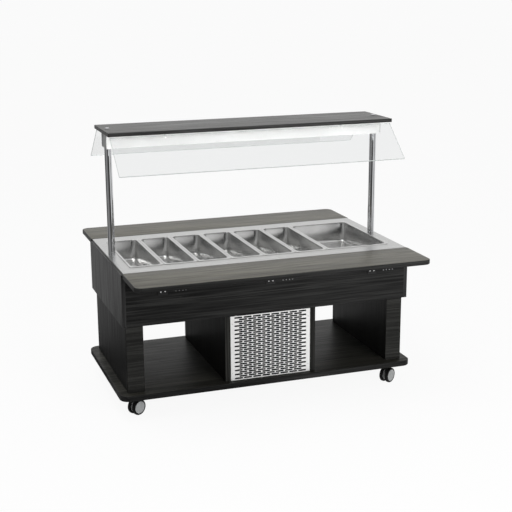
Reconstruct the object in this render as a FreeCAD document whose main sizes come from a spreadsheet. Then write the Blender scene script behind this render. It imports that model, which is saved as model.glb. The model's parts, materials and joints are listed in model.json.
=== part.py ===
import FreeCAD, Part
import math
import os
import re
import Sketcher

# Refrigerated buffet trolley: a laminate carcass on casters, a cold well with lift-out pans under a
# steel deck, a fold-down shelf on each long side, and a lit canopy with two slanted glass screens.
# Origin: on the floor, under the middle. X runs along the pans, the front is -Y, +Z is up.

# Driving dimensions: millimetres, degrees and counts.
SIZES = {
    # Pans, cut to the catering grid, and the steel deck that carries them.
    "narrow_pans": 6, "wide_pan_pitches": 2, "pan_pitch": 162.5, "pan_gap": 1, "pan_length": 529,
    "pan_lip": 10, "pan_rim": 3.5, "pan_sheet": 1, "pan_depth": 100, "pan_corner": 24, "pan_draft": 3,
    "pan_rim_corner": 12, "pan_seat": 8, "bar_gap": 0.2,
    "deck_end_margin": 49.5, "deck_side_margin": 85.5, "deck_edge": 6, "deck_sheet": 1.5,
    "deck_flange": 14, "deck_corner": 14, "deck_overlap": 6.5, "bar_width": 14, "bar_height": 12,
    # Cold well under the deck.
    "liner_gap": 2, "liner_sheet": 1, "liner_corner": 18, "foam_wall": 25, "foam_floor": 30,
    "coil_room": 12, "coil_tube": 10, "coil_runs": 6, "coil_pitch": 80, "coil_bend": 36, "coil_end_room": 60,
    "coil_gap": 0.2,
    # Laminate boards of the carcass.
    "board": 18, "edge_round": 0.8, "rail_height": 248, "bay_height": 321, "leg_width": 80,
    "compartment_width": 454, "partition_board": 25, "cleat": 20,
    "base_thickness": 27, "base_overhang_end": 41, "base_overhang_side": 46, "base_corner": 45,
    "base_round": 3,
    # Fold-down shelves and their brackets.
    "shelf_depth": 261, "shelf_thickness": 22, "shelf_overhang": 6.5, "shelf_gap": 1, "shelf_corner": 36,
    "shelf_round": 2, "hinge_offset": 12, "hinge_drop": 14, "hinge_pin": 6, "hinge_fit": 0.05,
    "bracket_count": 3, "bracket_pitch": 520, "bracket_width": 44, "bracket_sheet": 3,
    "bracket_height": 92, "bracket_top_gap": 2, "ear_reach": 7, "ear_gap": 0.5, "arm_reach": 190,
    "arm_heel": 5, "arm_depth": 20, "arm_top_start": 10,
    # Screw heads.
    "screw_head": 7, "screw_height": 2, "bracket_screw_pitch": 20, "bracket_screw_low": 16,
    "bracket_screw_rise": 50, "panel_screw_inset": 9, "panel_screw_share": 0.12,
    # Canopy: posts, light box, top board and glass.
    "post_diameter": 33, "post_wall": 2, "post_inset": 24.5, "post_height": 515, "post_plug": 12,
    "tie_rod": 10, "tie_fit": 0.2, "tie_reach": 22, "tie_head": 22, "tie_head_height": 5,
    "light_inset": 9, "light_depth": 96, "light_height": 70, "light_sheet": 1.5, "light_lip": 8,
    "light_end_block": 46, "diffuser": 3, "diffuser_gap": 0.5, "lamp_width": 24, "lamp_height": 9,
    "lamp_end_gap": 40,
    "canopy_overhang": 4.5, "canopy_depth": 314, "canopy_thickness": 17, "canopy_round": 1.5,
    "glass_end_inset": 9, "glass_width": 228, "glass_thickness": 6, "glass_tilt": 41, "glass_drop": 4,
    "glass_edge_inset": 7, "clip_spread": 438, "clip_width": 8, "clip_sheet": 2, "clip_foot": 24,
    "clip_leg": 16,
    # Slotted panels of the machine compartment.
    "panel_sheet": 1.5, "panel_gap": 2, "slot_length": 40, "slot_width": 8, "slot_pitch": 46,
    "slot_rows": 16, "slot_columns": 8, "slot_row_pitch": 20, "rear_slot_rows": 9,
    # Refrigeration unit behind the panels.
    "condenser_width": 260, "condenser_height": 230, "condenser_depth": 50, "condenser_setback": 34,
    "fin_pitch": 10, "fin_gap": 7, "fin_slot_depth": 30, "fin_margin": 13, "shroud_sheet": 2,
    "shroud_opening": 204, "shroud_collar": 16,
    "fan_diameter": 190, "fan_blades": 5, "fan_chord": 46, "fan_pitch_rise": 16, "fan_sheet": 1.6,
    "fan_hub": 44, "fan_hub_length": 22, "fan_setback": 24, "fan_shaft": 8, "fan_fit": 0.05,
    "fan_nose": 4, "fan_end_gap": 0.5, "motor_diameter": 84, "motor_length": 58, "motor_gap": 8,
    "motor_foot": 70, "motor_bracket": 4,
    "compressor_diameter": 150, "compressor_height": 170, "compressor_dome": 40, "compressor_seam": 5,
    "compressor_seam_height": 9, "compressor_x": 62, "compressor_y": 120, "foot_length": 190,
    "foot_depth": 120, "foot_sheet": 4, "foot_pad": 24, "foot_pad_height": 14, "foot_pad_inset": 18,
    "pipe_diameter": 8, "pipe_bend": 25, "pipe_wall_gap": 32, "suction_pipe_gap": 34, "pipe_cross_gap": 13,
    "discharge_height": 80, "liquid_height": 45, "pipe_rise_y": 40, "drier_diameter": 22,
    "drier_length": 110, "drier_start": 70, "suction_head": 60, "pipe_joint_gap": 0.2,
    "pipe_hole_margin": 10,
    # Controls and cable gland on the rear panel.
    "control_drop": 46, "thermostat_x": 95, "thermostat_width": 78, "thermostat_height": 35,
    "bezel": 3, "thermostat_body_width": 71, "thermostat_body_height": 29, "thermostat_depth": 60,
    "main_switch_x": 10, "light_switch_x": -40, "switch_bezel_width": 32, "switch_bezel_height": 26,
    "switch_sleeve_width": 28, "switch_sleeve_height": 23, "switch_depth": 20, "switch_wall": 1.5,
    "cutout_gap": 0.2, "rocker_gap": 0.5, "rocker_height": 16, "rocker_front": 5, "rocker_back": 6,
    "rocker_pin": 3, "rocker_fit": 0.05, "rocker_tilt": 8, "rocker_round": 1.2,
    "gland_x": -120, "gland_thread": 20, "gland_head": 28, "gland_head_height": 14, "gland_nut_height": 6,
    "gland_bore": 9, "gland_reach": 9,
    # Twin-wheel swivel casters.
    "caster_height": 103, "caster_inset_end": 74, "caster_inset_side": 92, "caster_trail": 20,
    "wheel_diameter": 75, "wheel_width": 18, "wheel_track": 31, "wheel_round": 6, "hub_diameter": 62,
    "hub_recess": 2, "axle_diameter": 8, "axle_fit": 0.05, "axle_end_wall": 4, "axle_end_gap": 0.4,
    "neck_thickness": 12, "neck_width": 28, "boss_diameter": 26, "head_diameter": 48, "head_height": 11,
    "head_gap": 0.3, "stem_diameter": 11, "stem_length": 24, "stem_fit": 0.05, "stem_end_gap": 0.5,
    "turn_front_left": 209, "turn_front_right": 32, "turn_rear_left": 176, "turn_rear_right": 157,
    # How far a cutting shape runs past the face that it starts from.
    "overrun": 2,
}

# Places and lengths that follow from the driving dimensions.
DERIVED = {
    "row_length": "(narrow_pans + wide_pan_pitches) * pan_pitch",
    "deck_length": "row_length + 2 * deck_end_margin",
    "deck_depth": "pan_length + 2 * deck_side_margin",
    "opening_length": "row_length - 2 * pan_seat",
    "opening_depth": "pan_length - 2 * pan_seat",
    "half_length": "deck_length / 2 - deck_overlap",
    "half_depth": "deck_depth / 2 - board",
    "face": "deck_depth / 2",
    "base_top": "caster_height + base_thickness",
    "box_bottom": "base_top + bay_height",
    "ceiling_top": "box_bottom + board",
    "deck_bottom": "box_bottom + rail_height",
    "deck_top": "deck_bottom + deck_edge",
    "deck_under": "deck_top - deck_sheet",
    "base_length": "2 * (half_length + base_overhang_end)",
    "base_depth": "2 * (half_depth + base_overhang_side)",
    "caster_x": "base_length / 2 - caster_inset_end",
    "caster_y": "base_depth / 2 - caster_inset_side",
    "liner_length": "opening_length + 2 * (deck_sheet + liner_gap + liner_sheet)",
    "liner_depth": "opening_depth + 2 * (deck_sheet + liner_gap + liner_sheet)",
    "coil_floor": "ceiling_top + foam_floor",
    "liner_bottom": "coil_floor + coil_room",
    "shelf_length": "2 * (deck_length / 2 + shelf_overhang)",
    "shelf_under": "deck_top - shelf_thickness",
    "hinge_y": "face + hinge_offset",
    "hinge_z": "shelf_under - hinge_drop",
    "plate_top": "shelf_under - bracket_top_gap",
    "arm_half": "bracket_width / 2 - bracket_sheet - ear_gap",
    "post_x": "deck_length / 2 - post_inset",
    "light_bottom": "deck_top + post_height",
    "canopy_bottom": "light_bottom + light_height",
    "canopy_top": "canopy_bottom + canopy_thickness",
    "light_length": "deck_length - 2 * light_inset",
    "canopy_length": "deck_length + 2 * canopy_overhang",
    "glass_length": "canopy_length - 2 * glass_end_inset",
    "glass_top_y": "canopy_depth / 2 - glass_edge_inset",
    "glass_top_z": "canopy_bottom - glass_drop",
    "compartment_inside": "compartment_width / 2 - partition_board",
    "panel_width": "2 * (compartment_inside - panel_gap)",
    "panel_height": "bay_height - 2 * panel_gap",
    "condenser_front": "face - condenser_setback",
    "condenser_back": "condenser_front - condenser_depth",
    "fan_y": "condenser_back - fan_setback",
    "fan_z": "base_top + condenser_height / 2",
    "motor_front": "fan_y - fan_hub_length / 2 - motor_gap",
    "compressor_base": "base_top + foot_pad_height + foot_sheet",
    "compressor_top": "compressor_base + compressor_height",
    "control_z": "base_top + panel_gap + panel_height - control_drop",
}

doc = FreeCAD.newDocument("buffet_trolley")
sheet = doc.addObject("Spreadsheet::Sheet", "Sizes")
for row, (alias, amount) in enumerate(SIZES.items(), start=1):
    sheet.set(f"A{row}", alias)
    sheet.set(f"B{row}", str(amount))
    sheet.setAlias(f"B{row}", alias)
doc.recompute()
working = doc.addObject("Spreadsheet::Sheet", "Working")

WORD = re.compile(r"[a-z][a-z_]+")
HALF_TURN = "180"
QUARTER_TURN = "90"
nodes = []


def spelled(text):
    """An expression on the sheet, from one written in the plain names of the two tables above."""
    def reference(match):
        name = match.group(0)
        if name in DERIVED:
            return f"({spelled(DERIVED[name])})"
        return f"Sizes.{name}" if name in SIZES else name
    return WORD.sub(reference, str(text))


def number(text):
    """The value of an expression now, worked out in a spare cell."""
    working.set("A1", f"={spelled(text)}")
    working.recompute()
    return float(working.get("A1"))


def bind(piece, **expressions):
    """Ties properties to the sheet. Two underlines in a name stand for a dot."""
    for name, text in expressions.items():
        piece.setExpression(name.replace("__", "."), spelled(text))
    return piece


def place(piece, x, y, z, turn=None, axis=(0, 0, 1)):
    """Ties a piece's place, and its turn about an axis, to the sheet."""
    if turn is not None:
        piece.Placement = FreeCAD.Placement(FreeCAD.Vector(), FreeCAD.Rotation(FreeCAD.Vector(*axis), 1))
        bind(piece, Placement__Rotation__Angle=turn)
    return bind(piece, Placement__Base__x=x, Placement__Base__y=y, Placement__Base__z=z)


def node(piece):
    """Marks a finished sub-part, which gets a file of its own."""
    nodes.append(piece)
    return piece


def either_way(side, near, far):
    """The span from near to far on the positive or the negative side of the middle."""
    return (near, far) if side > 0 else (f"-({far})", f"-({near})")


def across(width):
    """A span of that width about the middle."""
    return (f"-({width}) / 2", f"({width}) / 2")


def around(middle, width):
    """A span of that width about a place."""
    return (f"{middle} - ({width}) / 2", f"{middle} + ({width}) / 2")


def block(name, x, y, z):
    """A plain box between three spans."""
    piece = doc.addObject("Part::Box", name)
    for size, (low, high) in zip(("Length", "Width", "Height"), (x, y, z)):
        bind(piece, **{size: f"({high}) - ({low})"})
    return place(piece, x[0], y[0], z[0])


def rod(name, radius, length, x, y, z, axis="z"):
    """A cylinder that starts at a point and runs along an axis."""
    piece = doc.addObject("Part::Cylinder", name)
    bind(piece, Radius=radius, Height=length)
    if axis == "x":
        return place(piece, x, y, z, QUARTER_TURN, (0, 1, 0))
    if axis == "y":
        return place(piece, x, y, z, QUARTER_TURN, (-1, 0, 0))
    return place(piece, x, y, z)


def joined(name, *pieces):
    """Touching or overlapping shapes made one solid."""
    piece = doc.addObject("Part::MultiFuse", name)
    piece.Shapes = list(pieces)
    return piece


def cut(name, base, *tools):
    """A shape with others taken away from it."""
    piece = doc.addObject("Part::Cut", name)
    piece.Base = base
    piece.Tool = tools[0] if len(tools) == 1 else joined(f"{name}_tools", *tools)
    return piece


def group(name, pieces):
    """Separate solids of one kind that share a node."""
    piece = doc.addObject("Part::Compound", name)
    piece.Links = list(pieces)
    return piece


def body(name, x, y, z, turn=None, axis=(0, 0, 1)):
    """An empty body at a place."""
    return place(doc.addObject("PartDesign::Body", name), x, y, z, turn, axis)


def sketch_on(part, plane):
    """A sketch on one of a body's own origin planes."""
    sketch = part.newObject("Sketcher::SketchObject", f"{part.Name}_sketch")
    support = next(f for f in part.Origin.OriginFeatures if f.Role == plane)
    sketch.AttachmentSupport = [(support, "")]
    sketch.MapMode = "FlatFace"
    return sketch


def pin_point(sketch, line, end, axis, text):
    """Holds a line's end at a distance from the sketch's origin along X or Y."""
    if str(text) == "0":
        sketch.addConstraint(Sketcher.Constraint("PointOnObject", line, end, -2 if axis == "X" else -1))
        return
    start = number(text)
    index = sketch.addConstraint(Sketcher.Constraint(f"Distance{axis}", -1, 1, line, end, start))
    sketch.setExpression(f"Constraints[{index}]", spelled(text))


def outline(sketch, points):
    """A closed outline of straight lines through points written as expressions."""
    spots = [FreeCAD.Vector(number(x), number(y), 0) for x, y in points]
    first = sketch.GeometryCount
    count = len(spots)
    for i in range(count):
        sketch.addGeometry(Part.LineSegment(spots[i], spots[(i + 1) % count]))
    for i in range(count):
        sketch.addConstraint(Sketcher.Constraint("Coincident", first + i, 2, first + (i + 1) % count, 1))
    for i, (x, y) in enumerate(points):
        pin_point(sketch, first + i, 1, "X", x)
        pin_point(sketch, first + i, 1, "Y", y)


def rectangle(sketch, x, y):
    """A rectangle between two spans."""
    outline(sketch, [(x[0], y[0]), (x[1], y[0]), (x[1], y[1]), (x[0], y[1])])


def circle(sketch, x, y, radius):
    """A circle about a point."""
    index = sketch.addGeometry(Part.Circle(FreeCAD.Vector(number(x), number(y), 0),
                                           FreeCAD.Vector(0, 0, 1), number(radius)))
    pin_point(sketch, index, 3, "X", x)
    pin_point(sketch, index, 3, "Y", y)
    size = sketch.addConstraint(Sketcher.Constraint("Radius", index, number(radius)))
    sketch.setExpression(f"Constraints[{size}]", spelled(radius))


def round_rectangle(sketch, x, y, radius):
    """A rectangle between two spans with rounded corners."""
    first = sketch.GeometryCount
    bend = number(radius)
    middles = []
    for i, j in ((1, 0), (1, 1), (0, 1), (0, 0)):
        middles.append((f"{x[i]} {'-' if i else '+'} ({radius})", f"{y[j]} {'-' if j else '+'} ({radius})"))
    spots = [FreeCAD.Vector(number(a), number(b), 0) for a, b in middles]
    quarter = math.pi / 2
    for i, spot in enumerate(spots):
        start = quarter * (i - 1)
        round_edge = Part.Circle(spot, FreeCAD.Vector(0, 0, 1), bend)
        sketch.addGeometry(Part.ArcOfCircle(round_edge, start, start + quarter))
    for i, spot in enumerate(spots):
        away = FreeCAD.Vector(bend * math.cos(quarter * i), bend * math.sin(quarter * i), 0)
        sketch.addGeometry(Part.LineSegment(spot + away, spots[(i + 1) % 4] + away))
    for i in range(4):
        sketch.addConstraint(Sketcher.Constraint("Tangent", first + i, 2, first + 4 + i, 1))
        sketch.addConstraint(Sketcher.Constraint("Tangent", first + 4 + i, 2, first + (i + 1) % 4, 1))
    size = sketch.addConstraint(Sketcher.Constraint("Radius", first, bend))
    sketch.setExpression(f"Constraints[{size}]", spelled(radius))
    for i, (a, b) in enumerate(middles):
        if i != 1:
            pin_point(sketch, first + i, 3, "X", a)
        if i != 3:
            pin_point(sketch, first + i, 3, "Y", b)


def pad(part, sketch, length, reverse=False, draft=None):
    """Material raised from a sketch, along its normal or against it."""
    feature = part.newObject("PartDesign::Pad", f"{part.Name}_pad")
    feature.Profile = sketch
    feature.Reversed = reverse
    bind(feature, Length=length)
    if draft is not None:
        bind(feature, TaperAngle=draft)
    doc.recompute()
    return feature


def pocket(part, sketch, length, reverse=False):
    """Material cut away below a sketch, or above it. It has to take something away."""
    before = part.Shape.Volume
    feature = part.newObject("PartDesign::Pocket", f"{part.Name}_pocket")
    feature.Profile = sketch
    feature.Reversed = reverse
    bind(feature, Length=length)
    doc.recompute()
    if part.Shape.Volume >= before:
        raise RuntimeError(f"a pocket of {part.Name} cuts nothing")
    return feature


def turned(part, sketch):
    """A profile spun about its sketch's upright axis."""
    feature = part.newObject("PartDesign::Revolution", f"{part.Name}_turned")
    feature.Profile = sketch
    feature.ReferenceAxis = (sketch, ["V_Axis"])
    doc.recompute()
    return feature


def rounded(part, radius, chosen=None):
    """Rounds the edges that a test picks, or every edge."""
    tip = part.Tip
    feature = part.newObject("PartDesign::Fillet", f"{part.Name}_round")
    if chosen is None:
        feature.Base = (tip, [])
        feature.UseAllEdges = True
    else:
        edges = enumerate(tip.Shape.Edges, start=1)
        feature.Base = (tip, [f"Edge{i}" for i, edge in edges if chosen(edge)])
    bind(feature, Radius=radius)
    doc.recompute()
    return feature


def upright(edge):
    """True for an edge that stands nearly along the body's Z."""
    ends = [vertex.Point for vertex in edge.Vertexes]
    if len(ends) < 2:
        return False
    run = ends[1] - ends[0]
    return abs(run.z) > math.hypot(run.x, run.y)


def level_at(*heights):
    """A test for edges that lie at one of these heights in the body."""
    def test(edge):
        box = edge.BoundBox
        flat = box.ZLength < Part.Precision.confusion() * 10
        return flat and any(abs(box.ZMin - z) < Part.Precision.confusion() * 10 for z in heights)
    return test


def panel(name, x, y, z):
    """A laminate board between three spans, its edges eased."""
    part = body(name, x[0], y[0], z[0])
    sketch = sketch_on(part, "XY_Plane")
    rectangle(sketch, ("0", f"({x[1]}) - ({x[0]})"), ("0", f"({y[1]}) - ({y[0]})"))
    pad(part, sketch, f"({z[1]}) - ({z[0]})")
    rounded(part, "edge_round")
    return part


def slab(name, x, y, z, corner, easing, corners=lambda edge: True):
    """A board with rounded corners and eased upper and lower edges."""
    part = body(name, x[0], y[0], z[0])
    sketch = sketch_on(part, "XY_Plane")
    rectangle(sketch, ("0", f"({x[1]}) - ({x[0]})"), ("0", f"({y[1]}) - ({y[0]})"))
    pad(part, sketch, f"({z[1]}) - ({z[0]})")
    if corner:
        rounded(part, corner, lambda edge: upright(edge) and corners(edge))
    rounded(part, easing, level_at(0, number(f"({z[1]}) - ({z[0]})")))
    return part


def make_base():
    """Base board with a blind bore for each caster stem."""
    part = slab("base_board", across("base_length"), across("base_depth"),
                ("caster_height", "base_top"), "base_corner", "base_round")
    bores = sketch_on(part, "XY_Plane")
    for x in ("caster_inset_end", "base_length - caster_inset_end"):
        for y in ("caster_inset_side", "base_depth - caster_inset_side"):
            circle(bores, x, y, "stem_diameter / 2 + stem_fit")
    pocket(part, bores, "stem_length + stem_end_gap", reverse=True)
    node(part)


def make_carcass():
    """Leg boxes, partitions, ceiling of the open bays, aprons and side boards."""
    standing = ("base_top", "box_bottom")
    upper = ("box_bottom", "deck_bottom")
    between = across("2 * (half_depth - board)")
    for word, side in (("left", -1), ("right", 1)):
        node(panel(f"{word}_outer_side", either_way(side, "half_length - board", "half_length"),
                   between, standing))
        inner = panel(f"{word}_leg_inner", either_way(side, "half_length - leg_width",
                                                      "half_length - leg_width + board"), between, standing)
        facings = [panel(f"{word}_leg_{end}", either_way(side, "half_length - leg_width", "half_length"),
                         either_way(way, "half_depth - board", "half_depth"), standing)
                   for end, way in (("front", -1), ("rear", 1))]
        node(group(f"{word}_leg_boards", [inner, *facings]))
        wall = panel(f"{word}_partition_board",
                     either_way(side, "compartment_inside", "compartment_inside + partition_board"),
                     across("deck_depth"), standing)
        cleats = [block(f"{word}_cleat_{end}",
                        either_way(side, "compartment_inside - cleat", "compartment_inside"),
                        either_way(way, "face - panel_sheet - cleat", "face - panel_sheet"), standing)
                  for end, way in (("front", -1), ("rear", 1))]
        node(group(f"{word}_partition", [wall, *cleats]))
        node(panel(f"{word}_side_board", either_way(side, "half_length", "half_length + board"),
                   across("deck_depth"), upper))
    for word, side in (("front", -1), ("rear", 1)):
        node(panel(f"{word}_apron", across("2 * half_length"),
                   either_way(side, "half_depth", "face"), upper))
    ceiling = panel("bay_ceiling_board", across("2 * half_length"), across("2 * half_depth"),
                    ("box_bottom", "ceiling_top"))
    node(cut("bay_ceiling", ceiling, pipe_passage("ceiling_hole", "box_bottom", "ceiling_top")))


def pipe_passage(name, low, high):
    """The hole that lets the refrigerant pipes up into the well."""
    start = "-compartment_inside + pipe_wall_gap - pipe_hole_margin"
    width = "suction_pipe_gap + 2 * pipe_hole_margin"
    return block(name, (start, f"{start} + {width}"),
                 ("pipe_rise_y - pipe_hole_margin", "pipe_rise_y + pipe_hole_margin"),
                 (f"{low} - overrun", f"{high} + overrun"))


def make_deck():
    """Steel deck: a shallow folded sheet with a flanged opening for the pans."""
    part = body("steel_deck", "-deck_length / 2", "-deck_depth / 2", "deck_bottom")
    outer = sketch_on(part, "XY_Plane")
    rectangle(outer, ("0", "deck_length"), ("0", "deck_depth"))
    pad(part, outer, "deck_edge")
    under = sketch_on(part, "XY_Plane")
    rectangle(under, ("deck_sheet", "deck_length - deck_sheet"), ("deck_sheet", "deck_depth - deck_sheet"))
    pocket(part, under, "deck_edge - deck_sheet", reverse=True)
    x = around("deck_length / 2", "opening_length")
    y = around("deck_depth / 2", "opening_depth")
    collar = sketch_on(part, "XY_Plane")
    round_rectangle(collar, around("deck_length / 2", "opening_length + 2 * deck_sheet"),
                    around("deck_depth / 2", "opening_depth + 2 * deck_sheet"), "deck_corner + deck_sheet")
    bind(collar, AttachmentOffset__Base__z="-deck_flange")
    pad(part, collar, "deck_flange + deck_edge")
    hole = sketch_on(part, "XY_Plane")
    round_rectangle(hole, x, y, "deck_corner")
    bind(hole, AttachmentOffset__Base__z="deck_edge")
    pocket(part, hole, "deck_edge + deck_flange + overrun")
    node(part)


def make_well():
    """Stainless liner, the foam round it, and the bars that carry the pans' long rims."""
    part = body("well_liner", "-liner_length / 2", "-liner_depth / 2", "liner_bottom")
    outer = sketch_on(part, "XY_Plane")
    round_rectangle(outer, ("0", "liner_length"), ("0", "liner_depth"), "liner_corner + liner_sheet")
    pad(part, outer, "deck_under - liner_bottom")
    inner = sketch_on(part, "XY_Plane")
    round_rectangle(inner, ("liner_sheet", "liner_length - liner_sheet"),
                    ("liner_sheet", "liner_depth - liner_sheet"), "liner_corner")
    bind(inner, AttachmentOffset__Base__z="liner_sheet")
    pocket(part, inner, "deck_under - liner_bottom", reverse=True)
    node(part)
    foam = block("foam_block", across("liner_length + 2 * foam_wall"), across("liner_depth + 2 * foam_wall"),
                 ("ceiling_top", "deck_bottom"))
    room = block("foam_room", across("liner_length"), across("liner_depth"),
                 ("coil_floor", "deck_bottom + overrun"))
    node(cut("well_insulation", foam, room, pipe_passage("foam_hole", "ceiling_top", "coil_floor")))
    bars = []
    for i in range(int(number("narrow_pans"))):
        bars.append(block(f"pan_bar_{i + 1}", around(f"-row_length / 2 + {i + 1} * pan_pitch", "bar_width"),
                          across("opening_depth"), ("deck_top - bar_height", "deck_top - bar_gap")))
    node(group("pan_support_bars", bars))


def make_basin(name, width, inset, corner, top, depth):
    """A solid with drafted sides and a rounded floor, as a pan's outside or its inside."""
    part = body(name, "0", "0", "0")
    mouth = sketch_on(part, "XY_Plane")
    round_rectangle(mouth, across(f"{width} - 2 * ({inset})"), across(f"pan_length - 2 * ({inset})"), corner)
    bind(mouth, AttachmentOffset__Base__z=top)
    pad(part, mouth, depth, reverse=True, draft="-pan_draft")
    rounded(part, f"{corner} / 2", level_at(number(f"{top} - ({depth})")))
    return part


def make_pan_pattern(name, pitches):
    """One size of lift-out pan, about its own middle, its flat rim resting at height zero."""
    width = f"({pitches} * pan_pitch - pan_gap)"
    rim = body(f"{name}_rim", "0", "0", "0")
    plan = sketch_on(rim, "XY_Plane")
    round_rectangle(plan, across(width), across("pan_length"), "pan_rim_corner")
    pad(rim, plan, "pan_rim")
    rounded(rim, "pan_rim / 3", level_at(number("pan_rim")))
    outside = make_basin(f"{name}_outside", width, "pan_lip", "pan_corner", "0", "pan_depth")
    inside = make_basin(f"{name}_inside", width, "pan_lip + pan_sheet", "(pan_corner - pan_sheet)", "pan_rim",
                        "pan_rim + pan_depth - pan_sheet")
    return cut(name, joined(f"{name}_solid", rim, outside), inside)


def make_pans():
    """Six narrow pans and a wide one, side by side along the well."""
    count = int(number("narrow_pans"))
    narrow = make_pan_pattern("narrow_pan", "1")
    for i in range(count):
        pan = group(f"narrow_pan_{i + 1}", [narrow])
        node(place(pan, f"-row_length / 2 + ({i} + 1 / 2) * pan_pitch", "0", "deck_top"))
    wide = group("wide_pan", [make_pan_pattern("wide_pan_pattern", "wide_pan_pitches")])
    node(place(wide, f"-row_length / 2 + ({count} + wide_pan_pitches / 2) * pan_pitch", "0", "deck_top"))


def bracket_places():
    """Expressions for the brackets' places along a shelf."""
    count = int(number("bracket_count"))
    return [f"({i} - (bracket_count - 1) / 2) * bracket_pitch" for i in range(count)]


def make_shelves():
    """Fold-down shelves, each on brackets whose pins lie under the shelf's inner edge."""
    plates = []
    for word, side in (("front", -1), ("rear", 1)):
        outer = (lambda edge: edge.BoundBox.YMin < number("shelf_depth") / 2) if side < 0 else (
            lambda edge: edge.BoundBox.YMin > number("shelf_depth") / 2)
        node(slab(f"{word}_shelf", across("shelf_length"),
                  either_way(side, "face + shelf_gap", "face + shelf_gap + shelf_depth"),
                  ("shelf_under", "deck_top"), "shelf_corner", "shelf_round", outer))
        arms = []
        for i, x in enumerate(bracket_places()):
            plates.append(make_plate(f"{word}_bracket_{i + 1}", x, side))
            arms.append(make_arm(f"{word}_arm_{i + 1}", x, side))
        node(group(f"{word}_shelf_arms", arms))
    node(group("bracket_plates", plates))


def make_plate(name, x, side):
    """Wall plate of a bracket with two ears and the hinge pin riveted across them."""
    wide = around(x, "bracket_width")
    plate = block(f"{name}_plate", wide, either_way(side, "face", "face + bracket_sheet"),
                  ("plate_top - bracket_height", "plate_top"))
    high = ("hinge_z - ear_reach", "hinge_z + ear_reach")
    deep = either_way(side, "face", "hinge_y + ear_reach")
    ears = [block(f"{name}_ear_a", (wide[0], f"{wide[0]} + bracket_sheet"), deep, high),
            block(f"{name}_ear_b", (f"{wide[1]} - bracket_sheet", wide[1]), deep, high)]
    pin = rod(f"{name}_pin", "hinge_pin / 2", "bracket_width", wide[0], f"{side} * hinge_y", "hinge_z", "x")
    return joined(name, plate, *ears, pin)


def make_arm(name, x, side):
    """Channel under the shelf, its two cheeks bored for the pin."""
    deep = either_way(side, "hinge_y - arm_heel", "face + arm_reach")
    low = ("shelf_under - arm_depth", "shelf_under")
    cheeks = [block(f"{name}_cheek_a", (f"{x} - arm_half", f"{x} - arm_half + bracket_sheet"), deep, low),
              block(f"{name}_cheek_b", (f"{x} + arm_half - bracket_sheet", f"{x} + arm_half"), deep, low)]
    top = block(f"{name}_top", (f"{x} - arm_half", f"{x} + arm_half"),
                either_way(side, "hinge_y + arm_top_start", "face + arm_reach"),
                ("shelf_under - bracket_sheet", "shelf_under"))
    bore = rod(f"{name}_bore", "hinge_pin / 2 + hinge_fit", "2 * arm_half + 2 * overrun",
               f"{x} - arm_half - overrun", f"{side} * hinge_y", "hinge_z", "x")
    return cut(name, joined(f"{name}_channel", *cheeks, top), bore)


def make_screws():
    """Screw heads of the brackets and of the two slotted panels."""
    heads = []

    def head(x, y, z, side):
        start = y if side > 0 else f"{y} - screw_height"
        heads.append(rod(f"screw_{len(heads) + 1}", "screw_head / 2", "screw_height", x, start, z, "y"))

    for side in (-1, 1):
        for x in bracket_places():
            for half in (-1, 1):
                for rise in ("bracket_screw_low", "bracket_screw_low + bracket_screw_rise"):
                    head(f"{x} + {half} * bracket_screw_pitch / 2", f"{side} * (face + bracket_sheet)",
                         f"plate_top - bracket_height + {rise}", side)
        for half in (-1, 1):
            for share in ("panel_screw_share", "(1 - panel_screw_share)"):
                head(f"{half} * (panel_width / 2 - panel_screw_inset)", f"{side} * face",
                     f"base_top + panel_gap + panel_height * {share}", side)
    node(group("screws", heads))


def make_posts():
    """Two chromed posts, each with the tie bolt that clamps the canopy down on it."""
    for word, side in (("left", -1), ("right", 1)):
        tube = body(f"{word}_post_tube", f"{side} * post_x", "0", "deck_top")
        wall = sketch_on(tube, "XZ_Plane")
        outline(wall, [("post_diameter / 2 - post_wall", "0"), ("post_diameter / 2", "0"),
                       ("post_diameter / 2", "post_height"), ("tie_rod / 2 + tie_fit", "post_height"),
                       ("tie_rod / 2 + tie_fit", "post_height - post_plug"),
                       ("post_diameter / 2 - post_wall", "post_height - post_plug")])
        turned(tube, wall)
        bolt = body(f"{word}_tie_bolt", f"{side} * post_x", "0", "light_bottom - tie_reach")
        shape = sketch_on(bolt, "XZ_Plane")
        under = "canopy_top - light_bottom + tie_reach"
        outline(shape, [("0", "0"), ("tie_rod / 2", "0"), ("tie_rod / 2", under), ("tie_head / 2", under),
                        ("tie_head / 2", f"{under} + tie_head_height / 2"),
                        ("tie_head / 3", f"{under} + tie_head_height"), ("0", f"{under} + tie_head_height")])
        turned(bolt, shape)
        node(group(f"{word}_post", [tube, bolt]))


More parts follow.
